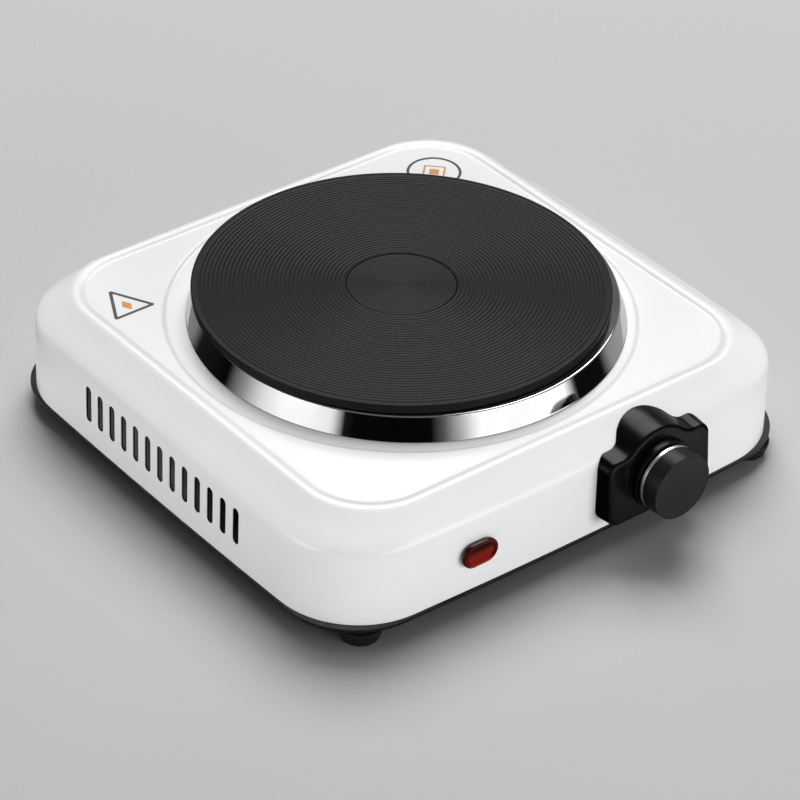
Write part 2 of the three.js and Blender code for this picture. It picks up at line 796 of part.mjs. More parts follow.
// The ceramic stack that holds the feet of the contact blades, with a groove for each of them.
function thermostatStack() {
  const end = BIMETAL_Y + 4;
  const stack = turned(band(1.9, STACK.radius, PLATE_FRONT_Y + 1.5 + GAP, end), 20);
  const grooves = [ARM_Y, FIXED_Y, BIMETAL_Y].map((y) =>
    block([-8, y - GAP, 3.2], [8, y + BLADE.thickness + GAP, 8]),
  );
  return cut(stack, ...grooves).translate(0, 0, KNOB.z - STACK.z);
}

// A springy strip that stands up in the thermostat, across the knob's axis, from low to high.
function blade(y, low, high, halfWidth = BLADE.halfWidth) {
  return block([-halfWidth, y, low], [halfWidth, y + BLADE.thickness, high]);
}

const GROOVE_Z = KNOB.z - STACK.z + 3.2 + GAP;

function contactArm() {
  const top = KNOB.z + 8;
  const tip = turned(disc(1.8, ARM_Y + 0.3, ARM_Y + 2.2), 12).translate(0, 0, KNOB.z + 5.5);
  return join(blade(ARM_Y, HINGE_Z, top), tip).translate(KNOB.x, 0, 0);
}

function fixedContact() {
  const top = KNOB.z + 8;
  const tip = turned(disc(1.8, FIXED_Y - 1, FIXED_Y + 0.3), 12).translate(0, 0, KNOB.z + 5.5);
  const tag = block([2, FIXED_Y, KNOB.z + 2], [11, FIXED_Y + BLADE.thickness, KNOB.z + 5]);
  return join(blade(FIXED_Y, GROOVE_Z, top, 3), tip, tag).translate(KNOB.x, 0, 0);
}

// The foot of the moving contact, which the arm flexes from, with its solder tag.
function armFoot() {
  const strip = blade(ARM_Y, GROOVE_Z, HINGE_Z - GAP);
  const tag = block([-13, ARM_Y, GROOVE_Z + 0.5], [-3, ARM_Y + BLADE.thickness, HINGE_Z - GAP]);
  return join(strip, tag).translate(KNOB.x, 0, 0);
}

const bimetalFoot = () =>
  blade(BIMETAL_Y, GROOVE_Z, HINGE_Z - GAP).translate(KNOB.x, 0, 0);

function bimetalBlade() {
  const adjuster = turned(disc(1, BIMETAL_Y - 2.4, BIMETAL_Y + 0.3), 8);
  return join(
    blade(BIMETAL_Y, HINGE_Z, KNOB.z + 10, 3.5),
    adjuster.translate(0, 0, KNOB.z - 4),
  ).translate(KNOB.x, 0, 0);
}

const stackRivet = () =>
  turned(
    [
      [0, PLATE_FRONT_Y - 0.4],
      [1.6, PLATE_FRONT_Y - 0.4],
      [1.6, BIMETAL_Y + 4 + GAP],
      [3.6, BIMETAL_Y + 4 + GAP],
      [2.6, BIMETAL_Y + 5.6],
      [0, BIMETAL_Y + 5.6],
    ],
    14,
  );

// Two screws from the front, hidden by the knob, hold the control housing and the thermostat.
const thermostatScrew = () => turned(panScrew(3.6, 2, 1.7, -132 - GAP, -119), 8);

// ---------------------------------------------------------------- lamp
const LAMP_WALL_Y = -127.4; // the wall's outside at the lamp

// The red lens: a low cushion outside the wall, with a hollow plug through it.
function lampLens() {
  const cap = new THREE.ExtrudeGeometry(stadium(LAMP.width - 1.6, LAMP.height - 1.6), {
    depth: LAMP.depth - 0.8,
    curveSegments: 8,
    bevelThickness: 0.8,
    bevelSize: 0.8,
    bevelSegments: 2,
  });
  // The bevel at the back is cut off flat.
  const cushion = cut(
    cap.rotateX(Math.PI / 2).translate(0, LAMP_WALL_Y - GAP, 0),
    block([-20, LAMP_WALL_Y - GAP, -20], [20, 0, 20]),
  );
  const plugEnd = LAMP_WALL_Y + 3.4;
  const plug = barAlongY(
    stadium(LAMP.width - 4.4, LAMP.height - 4.4),
    LAMP_WALL_Y - GAP - 0.1,
    plugEnd,
    6,
  );
  const hollow = barAlongY(
    stadium(LAMP.width - 6.8, LAMP.height - 6.8),
    LAMP_WALL_Y,
    plugEnd + 1,
    6,
  );
  return cut(join(cushion, plug), hollow).translate(LAMP.x, 0, LAMP.z);
}

// The holder behind the lens, open at both ends, with two snap ears.
function lampHolder() {
  const front = LAMP_WALL_Y + 3.4 + GAP;
  const shell = barAlongY(stadium(LAMP.width - 4.4, LAMP.height - 4.4), front, front + 13, 6);
  const inside = barAlongY(
    stadium(LAMP.width - 6.8, LAMP.height - 6.8),
    front - 1,
    front + 14,
    6,
  );
  const ears = block([-9, front + 0.5, -1.5], [9, front + 2.5, 1.5]);
  return cut(join(shell, ears), inside).translate(LAMP.x, 0, LAMP.z);
}

function neonBulb() {
  const front = LAMP_WALL_Y + 5;
  const profile = [
    [0, front],
    [1.1, front + 0.3],
    [1.9, front + 1.6],
    [1.9, front + 9],
    [0, front + 9],
  ];
  return turned(profile, 12).translate(LAMP.x, 0, LAMP.z);
}

// ---------------------------------------------------------------- wiring
const GLAND_HOLE = 6.6;
const GLAND_BORE = 3.8;
const REAR_WALL_Y = 126.6; // the rear wall's outside at the gland
const MAINS_BLOCK = { x: 62, y: 92, z: TRAY_FLOOR_Z + GAP };
const EARTH = { x: 96, y: 80 };

// A flanged bushing in the rear wall for the mains lead, which is not part of the object.
function cordGland() {
  const inner = REAR_WALL_Y - SKIN - 1.2;
  return turned(
    [
      [GLAND_BORE, inner - 5],
      [GLAND_HOLE + 1, inner - 5],
      [GLAND_HOLE + 1, inner - 1.5],
      [GLAND_HOLE - GAP, inner - 1.5],
      [GLAND_HOLE - GAP, REAR_WALL_Y + GAP],
      [GLAND_HOLE + 2.4, REAR_WALL_Y + GAP],
      [GLAND_HOLE + 2.4, REAR_WALL_Y + 2],
      [GLAND_HOLE + 1.6, REAR_WALL_Y + 3],
      [GLAND_BORE, REAR_WALL_Y + 3],
      [GLAND_BORE, inner - 5],
    ],
    24,
  ).translate(GLAND.x, 0, GLAND.z);
}

const MAINS_PITCH = 10;
const mainsX = (i) => MAINS_BLOCK.x + (i - 1) * MAINS_PITCH;

function mainsTerminalBlock() {
  const { x, y, z } = MAINS_BLOCK;
  const body = block([x - 16, y - 8, z], [x + 16, y + 8, z + 15]);
  const wells = [0, 1, 2].flatMap((i) => [
    turnedZ(disc(2.6, z + 7, z + 17), 12).translate(mainsX(i), y, 0),
    turned(disc(2.1, y - 10, y + 10), 10).translate(mainsX(i), 0, z + 5),
  ]);
  return cut(body, ...wells);
}

const mainsScrew = () => {
  const head = MAINS_BLOCK.z + 13;
  return turnedZ([[0, head - 5.6], [1.8, head - 5.6], [2.2, head - 2], [2.2, head], [0, head]], 12);
};

const earthScrew = () => turnedZ(panScrew(4, 2.2, 1.9, TRAY_LOW_Z - GAP, TRAY_FLOOR_Z + 9), 8);

const earthNut = () =>
  hexNut(2.2, 7, TRAY_FLOOR_Z + GAP, TRAY_FLOOR_Z + 3.2 + GAP);

// An insulated wire through the points of its route.
function wire(radius, route) {
  const path = new THREE.CatmullRomCurve3(route.map((point) => new THREE.Vector3(...point)));
  return alongPath(path, radius, 3 * (route.length - 1), 6);
}

const WIRE_Z = TRAY_FLOOR_Z + 5;
const MAINS_PORT_Z = MAINS_BLOCK.z + 5;
const MAINS_PORT_Y = MAINS_BLOCK.y - 8 - GAP;
const PIN_LOW_Z = COVER_Z - 16;

// Live from the terminal block to the foot of the thermostat's moving contact.
const liveWire = () =>
  wire(1.3, [
    [mainsX(2), MAINS_PORT_Y, MAINS_PORT_Z],
    [mainsX(2) + 4, MAINS_PORT_Y - 14, MAINS_PORT_Z],
    [92, 30, WIRE_Z],
    [88, -30, WIRE_Z],
    [60, -80, WIRE_Z],
    [30, -86, 16],
    [20, -94, 21],
    [KNOB.x - 11, ARM_Y + BLADE.thickness + 1, GROOVE_Z + 1.2],
  ]);

// From the thermostat's fixed contact through the thermal fuse to the plate.
const switchedWire = () =>
  wire(1.3, [
    [KNOB.x + 12.6, FIXED_Y + 2, KNOB.z + 3.5],
    [KNOB.x + 17, FIXED_Y + 14, KNOB.z],
    [50, -60, 28],
    [44, -34, 26],
  ]);

const FUSE = { x: 43, y0: -32, y1: -12, z: 26 };
const thermalFuse = () =>
  turned(
    [
      [0, FUSE.y0],
      [1.6, FUSE.y0 + 0.6],
      [2.4, FUSE.y0 + 3],
      [2.4, FUSE.y1 - 3],
      [1.6, FUSE.y1 - 0.6],
      [0, FUSE.y1],
    ],
    12,
  ).translate(FUSE.x, 0, FUSE.z);

const plateLiveWire = () =>
  wire(1.3, [
    [42.6, FUSE.y1 + 1.6, 26],
    [40, 6, 27],
    [24, 36, 30],
    [10, 50, 33],
    [TERMINAL.x + TERMINAL.spread, TERMINAL.y, PIN_LOW_Z - 1],
  ]);

const neutralWire = () =>
  wire(1.3, [
    [mainsX(0), MAINS_PORT_Y, MAINS_PORT_Z],
    [mainsX(0) - 6, MAINS_PORT_Y - 10, MAINS_PORT_Z + 2],
    [20, 66, 24],
    [-4, 60, 31],
    [TERMINAL.x - TERMINAL.spread, TERMINAL.y, PIN_LOW_Z - 1],
  ]);

const earthWire = () =>
  wire(1.3, [
    [mainsX(1), MAINS_PORT_Y, MAINS_PORT_Z],
    [mainsX(1) + 3, MAINS_PORT_Y - 10, MAINS_PORT_Z],
    [82, 68, 17],
    [EARTH.x - 4, EARTH.y - 6, TRAY_FLOOR_Z + 6.5],
    [EARTH.x - 3.4, EARTH.y - 0.6, TRAY_FLOOR_Z + 6],
  ]);

const LAMP_TAIL_Y = LAMP_WALL_Y + 14 + GAP;

function lampLead(side) {
  const x = LAMP.x + side * 1;
  return wire(0.7, [
    [x, LAMP_TAIL_Y, LAMP.z],
    [x + side * 2, LAMP_TAIL_Y + 9, LAMP.z - 3],
    [x + side * 10 + 24, -86 + side * 5, 16],
    [-6, -92 + side * 5, 15],
    [6, -96 + side * 6, 18],
  ]);
}

// ---------------------------------------------------------------- assembly
const materials = Object.fromEntries(
  Object.entries(FINISH).map(([name, look]) => [name, new THREE.MeshStandardMaterial(look)]),
);

// Puts the middle of the bounding box, from the knob's face to the gland's end, at Y = 0.
const BODY_SHIFT_Y = -(KNOB.faceY + REAR_WALL_Y + 3) / 2;
const assembly = new THREE.Group();
assembly.position.y = BODY_SHIFT_Y;

function place(name, geometry, finish, x = 0, y = 0, z = 0) {
  const mesh = new THREE.Mesh(geometry, materials[finish].clone());
  mesh.name = name;
  mesh.position.set(x, y, z);
  assembly.add(mesh);
}

place("top_housing", topHousing(), "enamel");
place("base_tray", baseTray(), "blackPaint");
FEET.forEach(({ place: corner, x, y }) => {
  place(`foot_${corner}`, foot(), "rubber", x, y);
  place(`foot_screw_${corner}`, footScrew(), "zincSteel", x, y);
});
TABS.forEach(({ x, y }, i) => place(`base_screw_${i + 1}`, baseScrew(), "zincSteel", x, y));

place("hot_plate", hotPlate(), "castIron");
place("trim_ring", trimRing(), "polishedSteel");
place("heating_coil", heatingCoil(), "zincSteel");
place("coil_cover", coilCover(), "zincSteel");
place("plate_stud", plateStud(), "zincSteel");
place("plate_bracket", plateBracket(), "zincSteel");
place("bracket_washer", bracketWasher(), "zincSteel");
place("bracket_nut", bracketNut(), "zincSteel");
place("terminal_ceramic", terminalCeramic(), "ceramic");
place("plate_terminal_live", terminalPin(), "zincSteel", TERMINAL.x + TERMINAL.spread, TERMINAL.y);
place("plate_terminal_neutral", terminalPin(), "zincSteel", TERMINAL.x - TERMINAL.spread, TERMINAL.y);

place("control_housing", controlHousing(), "blackPlastic");
place("knob", knobCap(), "blackPlastic", KNOB.x, 0, KNOB.z);
place("knob_trim_band", knobTrimBand(), "polishedSteel", KNOB.x, 0, KNOB.z);
place("knob_spring_clip", knobSpringClip(), "zincSteel", KNOB.x, 0, KNOB.z);

place("thermostat_plate", thermostatPlate(), "zincSteel");
place("thermostat_bush", thermostatBush(), "brass", KNOB.x, 0, KNOB.z);
place("thermostat_shaft", thermostatShaft(), "zincSteel", KNOB.x, 0, KNOB.z);
place("thermostat_push_pin", pushPin(), "ceramic", KNOB.x, 0, KNOB.z);
place("thermostat_stack", thermostatStack(), "ceramic", KNOB.x);
place("thermostat_rivet", stackRivet(), "zincSteel", KNOB.x, 0, KNOB.z - STACK.z);
place("contact_arm_foot", armFoot(), "brass");
place("contact_arm", contactArm(), "brass");
place("fixed_contact", fixedContact(), "brass");
place("bimetal_foot", bimetalFoot(), "zincSteel");
place("bimetal_blade", bimetalBlade(), "zincSteel");
THERMOSTAT_SCREWS.forEach(([x, z], i) =>
  place(`thermostat_screw_${i + 1}`, thermostatScrew(), "zincSteel", x, 0, z),
);

place("lamp_lens", lampLens(), "redLens");
place("lamp_holder", lampHolder(), "sleeveWhite");
place("neon_bulb", neonBulb(), "neonGlass");

place("cord_gland", cordGland(), "rubber");
place("mains_terminal_block", mainsTerminalBlock(), "ceramic");
[0, 1, 2].forEach((i) =>
  place(`mains_terminal_screw_${i + 1}`, mainsScrew(), "brass", mainsX(i), MAINS_BLOCK.y),
);
place("earth_screw", earthScrew(), "zincSteel", EARTH.x, EARTH.y);
place("earth_nut", earthNut(), "brass", EARTH.x, EARTH.y);
place("thermal_fuse", thermalFuse(), "sleeveWhite");
place("live_wire", liveWire(), "wireBrown");
place("switched_wire", switchedWire(), "wireRed");
place("plate_live_wire", plateLiveWire(), "wireRed");
place("neutral_wire", neutralWire(), "wireBlue");
place("earth_wire", earthWire(), "wireEarth");
place("lamp_lead_live", lampLead(-1), "wireRed");
place("lamp_lead_neutral", lampLead(1), "wireBlue");

const hotPlateBurner = new THREE.Group();
hotPlateBurner.add(assembly);

export default hotPlateBurner;
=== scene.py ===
import json
import math

import bmesh
import bpy
import numpy as np
from mathutils import Matrix, Vector


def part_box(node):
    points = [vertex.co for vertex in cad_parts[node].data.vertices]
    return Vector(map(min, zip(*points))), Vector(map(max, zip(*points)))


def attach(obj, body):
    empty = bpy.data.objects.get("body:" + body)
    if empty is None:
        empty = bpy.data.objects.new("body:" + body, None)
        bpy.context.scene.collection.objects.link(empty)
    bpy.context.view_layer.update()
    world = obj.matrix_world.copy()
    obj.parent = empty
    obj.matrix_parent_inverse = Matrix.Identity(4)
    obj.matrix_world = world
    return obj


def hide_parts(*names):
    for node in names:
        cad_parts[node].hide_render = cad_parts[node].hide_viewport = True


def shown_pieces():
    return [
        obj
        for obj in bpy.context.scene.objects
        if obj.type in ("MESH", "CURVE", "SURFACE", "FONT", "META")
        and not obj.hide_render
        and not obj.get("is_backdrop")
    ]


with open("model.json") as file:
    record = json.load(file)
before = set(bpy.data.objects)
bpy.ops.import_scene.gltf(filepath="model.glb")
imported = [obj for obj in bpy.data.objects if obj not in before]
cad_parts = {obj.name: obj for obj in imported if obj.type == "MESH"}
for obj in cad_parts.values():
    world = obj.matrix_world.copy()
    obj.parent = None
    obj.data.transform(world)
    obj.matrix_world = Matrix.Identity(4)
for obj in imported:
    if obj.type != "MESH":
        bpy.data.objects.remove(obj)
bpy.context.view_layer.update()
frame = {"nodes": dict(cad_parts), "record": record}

# An electric hot plate: fine surfaces, materials, floor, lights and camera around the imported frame.
# Meshes are worked out in millimetres, in the frame's axes, and made in metres.
MM = 0.001


def box_mm(node):
    """Lowest and highest corner of a CAD node, in millimetres."""
    low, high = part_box(node)
    return low / MM, high / MM


def middle_mm(node):
    low, high = box_mm(node)
    return (low + high) / 2


# ---- driving dimensions
GAP = 0.3  # clearance between pieces that touch
SHELL_LOW, SHELL_HIGH = box_mm("top_housing")
BODY_Y = (SHELL_LOW.y + SHELL_HIGH.y) / 2
BASE_Z = SHELL_LOW.z
BOW_X = 0.9  # how far the middle of a side wall stands out past its ends
BOW_Y = 1.6
HALF_WIDTH = SHELL_HIGH.x - BOW_X
HALF_DEPTH = (SHELL_HIGH.y - SHELL_LOW.y) / 2 - BOW_Y
CORNER_RADIUS = 40.5
WALL_DRAFT = 0.019
SKIN = 1
BEAD_HALF = 112.5  # from the middle to the crest of the raised bead
BEAD_RADIUS = 33
BEAD_TOP = SHELL_HIGH.z - BASE_Z
PANEL_HALF = 108.2
PANEL_DROP = 1.1  # panel below the crest of the bead
SEAT_RADIUS = 104.2
SEAT_DROP = 1.9
HOLE_RADIUS = 86
PANEL_Z = BASE_Z + BEAD_TOP - PANEL_DROP
CREASE_Z = 35.2  # where the wall turns into the shoulder, above the housing's lower edge

SLOT = {"count": 13, "pitch": 9.05, "width": 4, "length": 18, "z": 30}
LAMP_HOLE = (14.6, 7.9)  # width and height
SHAFT_HOLE_RADIUS = 6.5
GLAND_HOLE_RADIUS = 6.6


# ---- mesh tools
def place_mesh(name, verts, faces):
    """A mesh object from points in millimetres, its faces turned outwards."""
    mesh = bpy.data.meshes.new(name)
    points = np.asarray(verts, float) * MM
    mesh.from_pydata(points.tolist(), [], [list(map(int, face)) for face in faces])
    work = bmesh.new()
    work.from_mesh(mesh)
    bmesh.ops.remove_doubles(work, verts=work.verts, dist=1e-7)
    bmesh.ops.recalc_face_normals(work, faces=work.faces)
    work.to_mesh(mesh)
    work.free()
    obj = bpy.data.objects.new(name, mesh)
    bpy.context.scene.collection.objects.link(obj)
    return obj


def bake_modifiers(obj):
    """Replaces the mesh with what its modifiers make of it."""
    bpy.context.view_layer.update()
    depsgraph = bpy.context.evaluated_depsgraph_get()
    made = bpy.data.meshes.new_from_object(obj.evaluated_get(depsgraph))
    obj.modifiers.clear()
    obj.data = made


def combine(obj, tool, operation):
    """Cuts, joins or intersects obj with tool, and removes the tool."""
    step = obj.modifiers.new("combine", "BOOLEAN")
    step.operation = operation
    step.solver = "EXACT"
    step.object = tool
    bake_modifiers(obj)
    bpy.data.objects.remove(tool)


def smooth(obj, angle=38):
    """Smooth shading that keeps the edges sharper than angle, in degrees, and keeps flats flat."""
    obj.data.shade_smooth()
    obj.data.set_sharp_from_angle(angle=math.radians(angle))
    step = obj.modifiers.new("flats", "WEIGHTED_NORMAL")
    step.keep_sharp = True
    step.weight = 80


def finish_piece(obj, material, body="housing", stands_for=()):
    """Gives a new piece its material and the body that it rides on, and hides the CAD nodes that it stands
    for. A printed mark stands for nothing."""
    obj.data.materials.clear()
    obj.data.materials.append(material)
    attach(obj, body)
    if stands_for:
        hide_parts(*stands_for)
    return obj


# ---- profiles
def arc(cx, cy, radius, start, end, steps):
    """Points of an arc, angles in degrees."""
    angles = np.radians(np.linspace(start, end, steps + 1))
    return [(cx + radius * math.cos(a), cy + radius * math.sin(a)) for a in angles]


def rounded(corners, steps=4):
    """A path with its corners rounded. A corner is (rounding, number, number, ...); the rounding is how
    far from the corner the curve starts. The first and last corners stay."""
    points = [np.array(corner[1:], float) for corner in corners]
    path = [points[0]]
    for i in range(1, len(points) - 1):
        before, here, after = points[i - 1 : i + 2]
        reach_in = np.linalg.norm(before - here)
        reach_out = np.linalg.norm(after - here)
        cut = min(corners[i][0], reach_in / 2, reach_out / 2)
        if cut == 0:
            path.append(here)
            continue
        start = here + (before - here) * cut / reach_in
        end = here + (after - here) * cut / reach_out
        for t in np.linspace(0, 1, steps + 1):
            path.append((1 - t) ** 2 * start + 2 * t * (1 - t) * here + t * t * end)
    path.append(points[-1])
    return path


def swept(rings):
    """Quads between successive closed rings, with the first and last ring filled if they have a size."""
    count = len(rings[0])
    verts = np.concatenate(rings)
    faces = []
    for j in range(len(rings) - 1):
        for i in range(count):
            k = (i + 1) % count
            faces.append((j * count + i, j * count + k, (j + 1) * count + k, (j + 1) * count + i))
    for j in (0, len(rings) - 1):
        if np.ptp(rings[j], axis=0).max() > 1e-6:
            faces.append(tuple(range(j * count, (j + 1) * count)))
    return verts, faces


def raised(outline, *heights):
    """A flat outline in X and Y as one ring at each height."""
    return [np.array([(x, y, z) for x, y in outline]) for z in heights]


def looped(rings):
    """Quads between successive rings and back to the first, for a shape that closes on itself."""
    verts, faces = swept([*rings, rings[0]])
    return verts, [face for face in faces if len(face) == 4]


def turned_rings(profile, centre, axis="Z", segments=96):
    """Rings of a turned piece. The profile is (radius, height along the axis); centre is the other two."""
    angles = np.linspace(0, 2 * np.pi, segments, endpoint=False)
    radii, heights = np.array(profile, float).T
    across = centre[0] + np.outer(radii, np.cos(angles))
    along = centre[1] + np.outer(radii, np.sin(angles))
    height = np.repeat(heights[:, None], segments, axis=1)
    order = {"Z": (across, along, height), "Y": (across, height, along)}[axis]
    return list(np.stack(order, axis=-1))


def turned(name, profile, centre, axis="Z", segments=96, closed=False):
    """A turned piece. A profile that closes on itself makes a ring."""
    rings = turned_rings(profile, centre, axis, segments)
    return place_mesh(name, *(looped(rings) if closed else swept(rings)))


# ---- the pressed housing
def outline_angles(per_quadrant):
    """Directions round the body, crowded at the four corners where the outline turns."""
    even_share = 0.36
    quadrant = np.repeat(np.arange(4), per_quadrant)
    t = np.tile(np.arange(per_quadrant) / per_quadrant * 2 - 1, 4)
    return np.pi / 4 * (2 * quadrant + 1 + even_share * t + (1 - even_share) * t**3)


def outline_ring(station, angles):
    """The ring of one station (half width, half depth, corner radius, height, share of the bow)."""
    half_x, half_y, radius, height, bow = station
    cos, sin = np.cos(angles), np.sin(angles)
    c, s = np.abs(cos), np.abs(sin)
    flat_x, flat_y = half_x - radius, half_y - radius
    along = c * flat_x + s * flat_y
    corner = along + np.sqrt(np.maximum(0, along**2 - flat_x**2 - flat_y**2 + radius**2))
    reach = np.where(
        c * flat_y >= s * half_x,
        half_x / np.maximum(c, 1e-9),
        np.where(s * flat_x >= c * half_y, half_y / np.maximum(s, 1e-9), corner),
    )
    x, y = reach * cos, reach * sin
    if bow > 0:
        across_x = np.maximum(0, 1 - (x / flat_x) ** 2)
        across_y = np.maximum(0, 1 - (y / flat_y) ** 2)
        x, y = x + np.sign(cos) * bow * BOW_X * across_y, y + np.sign(sin) * bow * BOW_Y * across_x
    return np.stack([x, BODY_Y + y, np.full_like(x, BASE_Z + height)], axis=1)


def wall_station(height, out=0.0):
    lean = WALL_DRAFT * height
    return (HALF_WIDTH - lean + out, HALF_DEPTH - lean + out, CORNER_RADIUS - lean + out, height, 1)


def shoulder_station(share, height):
    def between(low, high):
        return low + (high - low) * share

    return (
        between(HALF_WIDTH, BEAD_HALF),
        between(HALF_DEPTH, BEAD_HALF),
        between(CORNER_RADIUS, BEAD_RADIUS),
        height,
        1 - share,
    )


def round_station(radius, height):
    return (radius, radius, radius, height, 0)


def inside_of(path, distance):
    """The path moved to its inside by distance, square to the section through the side walls."""
    moved = []
    for j, point in enumerate(path):
        before, after = path[max(0, j - 1)], path[min(len(path) - 1, j + 1)]
        run, rise = before[1] - after[1], after[3] - before[3]
        length = math.hypot(run, rise)
        inward, down = distance * rise / length, distance * run / length
        moved.append(point - np.array([inward, inward, inward, down, 0]))
    return moved


def shell_path():
    """Stations of the housing's outside, from the lower edge up the wall, over the crease, the shoulder
    and the bead, and across the panel to the seat round the plate's hole."""
    panel = BEAD_TOP - PANEL_DROP
    seat = BEAD_TOP - SEAT_DROP
    return rounded(
        [
            (0, *wall_station(0.3)),
            (0, *wall_station(12)),
            (0, *wall_station(24)),
            (2.4, *wall_station(CREASE_Z)),
            (3, *shoulder_station(0.22, 38.3)),
            (4, *shoulder_station(0.62, 43.1)),
            (2.6, *shoulder_station(0.94, BEAD_TOP)),
            (1.6, BEAD_HALF - 2, BEAD_HALF - 2, BEAD_RADIUS - 1.6, BEAD_TOP, 0),
            (1.2, PANEL_HALF, PANEL_HALF, BEAD_RADIUS - 3, panel, 0),
            (0, PANEL_HALF - 1.4, PANEL_HALF - 1.4, BEAD_RADIUS - 4.2, panel, 0),
            (0, *round_station(SEAT_RADIUS + 1.9, panel)),
            (1.1, *round_station(SEAT_RADIUS + 0.8, panel)),
            (1.1, *round_station(SEAT_RADIUS - 0.8, seat)),
            (0, *round_station(SEAT_RADIUS - 3, seat)),
            (0, *round_station(HOLE_RADIUS + 4, seat)),
            (0, *round_station(HOLE_RADIUS, seat)),
        ],
        steps=5,
    )


def stadium_ring(width, height, steps=10):
    """Outline of a slot with round ends, anticlockwise about its middle."""
    radius = min(width, height) / 2
    x, y = width / 2 - radius, height / 2 - radius
    if width > height:
        return arc(x, 0, radius, -90, 90, steps) + arc(-x, 0, radius, 90, 270, steps)
    return arc(0, y, radius, 0, 180, steps) + arc(0, -y, radius, 180, 360, steps)


# Depth below the wall's outside, and how much wider the slot is there on each side.
SLOT_EDGE = [(-0.3, 0.5), (0.0, 0.26), (0.09, 0.11), (0.26, 0.0), (3.0, 0.0)]


def slot_cutters(side):
    """Cutters for the slots of one side wall, flared where they meet its outside."""
    verts, faces = [], []
    flat = HALF_DEPTH - CORNER_RADIUS
    for i in range(SLOT["count"]):
        y = (i - (SLOT["count"] - 1) / 2) * SLOT["pitch"]
        wall = HALF_WIDTH + BOW_X * max(0, 1 - (y / flat) ** 2)
        rings = []
        for depth, wider in SLOT_EDGE:
            ring = stadium_ring(SLOT["width"] + 2 * wider, SLOT["length"] + 2 * wider)
            points = []
            for u, v in ring:
                z = SLOT["z"] + v
                points.append((side * (wall - depth - WALL_DRAFT * (z - BASE_Z)), BODY_Y + y + u, z))
            rings.append(points)
        ring_verts, ring_faces = swept([np.array(ring) for ring in rings])
        faces += [tuple(len(verts) + k for k in face) for face in ring_faces]
        verts += list(ring_verts)
    return place_mesh("slot_cutters", verts, faces)


def drill(centre, axis, radius, low, high, segments=48):
    """A cylinder for cutting a round hole."""
    return turned("drill", [(0, low), (radius, low), (radius, high), (0, high)], centre, axis, segments)


def make_housing(material, painted_shade_inside):
    """The pressed shell, white outside, with near-black painted shade on its inside and on the slots' edges.
    """
    angles = outline_angles(52)
    outside = shell_path()
    inside = inside_of(outside, SKIN)[::-1]
    lip = [
        np.array(wall_station(0.0, out=-0.75)),
        np.array(wall_station(0.0, out=-0.25)),
    ]
    shell = place_mesh(
        "housing_shell",
        *looped([outline_ring(station, angles) for station in [*outside, *inside, *lip]]),
    )
    lamp, knob, gland = middle_mm("lamp_lens"), middle_mm("knob"), middle_mm("cord_gland")
    front, rear = SHELL_LOW.y, SHELL_HIGH.y
    outer, inner = 4, 8  # how far a hole's cutter reaches out of the wall and into the body
    tools = [
        slot_cutters(-1),
        slot_cutters(1),
        stadium_prism("lamp_hole", lamp, *LAMP_HOLE, front - outer, front + inner),
        drill((knob.x, knob.z), "Y", SHAFT_HOLE_RADIUS, front - outer, front + inner),
        drill((gland.x, gland.z), "Y", GLAND_HOLE_RADIUS, rear - inner, rear + outer),
    ]
    for tool in tools:
        combine(shell, tool, "DIFFERENCE")
    smooth(shell, 50)
    # The ring mirrors the surround, which stands for the studio, and not the white housing beside it.
    shell.visible_glossy = False
    finish_piece(shell, material, stands_for=["top_housing"])
    shell.data.materials.append(painted_shade_inside)
    # Painted shade: faces that look inwards and the slots' cut edges take the near-black second material, in
    # place of the shade inside the body.
    core = Vector((0, BODY_Y, BASE_Z + 12)) * MM
    for face in shell.data.polygons:
        faces_inwards = face.normal.dot((face.center - core).normalized()) < -0.3
        if faces_inwards or in_slot(face):
            face.material_index = 1


def in_slot(face):
    """Whether a face of the housing is the cut edge of the sheet in one of the slots."""
    at_side = abs(face.center.x) > (HALF_WIDTH - 5) * MM and abs(face.normal.x) < 0.5
    at_height = abs(face.center.z / MM - SLOT["z"]) < SLOT["length"] / 2 + 1
    return at_side and at_height and abs(face.center.y / MM - BODY_Y) < HALF_DEPTH - CORNER_RADIUS


def stadium_prism(name, middle, width, height, low, high):
    """A slot-shaped bar along Y."""
    ring = stadium_ring(width, height)
    return place_mesh(
        name,
        *swept([np.array([(middle.x + u, y, middle.z + v) for u, v in ring]) for y in (low, high)]),
    )


# ---- base tray, feet and screws
TRAY_LOW, TRAY_HIGH = box_mm("base_tray")
TRAY_SKIN = 1.2
TRAY_CORNER = 35
TRAY_SLOT = {"count": 7, "pitch": 12, "width": 4, "length": 60}


def make_tray(material):
    """The black pan under the housing, with a rim that shows below it and slots that let air in."""
    half_x = TRAY_HIGH.x - BOW_X
    half_y = (TRAY_HIGH.y - TRAY_LOW.y) / 2 - BOW_Y

    def rim(inward, z):
        return (half_x - inward, half_y - inward, TRAY_CORNER - inward, z - BASE_Z, 1)

    low, high = TRAY_LOW.z, TRAY_HIGH.z
    floor = low + TRAY_SKIN
    path = rounded(
        [
            (0, *round_station(0.001, low - BASE_Z)),
            (0, *rim(20, low)),
            (1.0, *rim(2.4, low)),
            (0.5, *rim(0.1, high - 1.7)),
            (0.4, *rim(0, high)),
            (0.5, *rim(3.2, high)),
            (0.9, *rim(6.0, floor)),
            (0, *rim(20, floor)),
            (0, *round_station(0.001, floor - BASE_Z)),
        ],
        steps=5,
    )
    angles = outline_angles(40)
    tray = place_mesh("base_pan", *swept([outline_ring(station, angles) for station in path]))
    for i in range(TRAY_SLOT["count"]):
        y = BODY_Y + (i - (TRAY_SLOT["count"] - 1) / 2) * TRAY_SLOT["pitch"]
        ring = [(u, y + v) for u, v in stadium_ring(TRAY_SLOT["length"], TRAY_SLOT["width"])]
        combine(tray, place_mesh("tray_slot", *swept(raised(ring, low - 1, floor + 1))), "DIFFERENCE")
    smooth(tray, 40)
    finish_piece(tray, material, stands_for=["base_tray"])


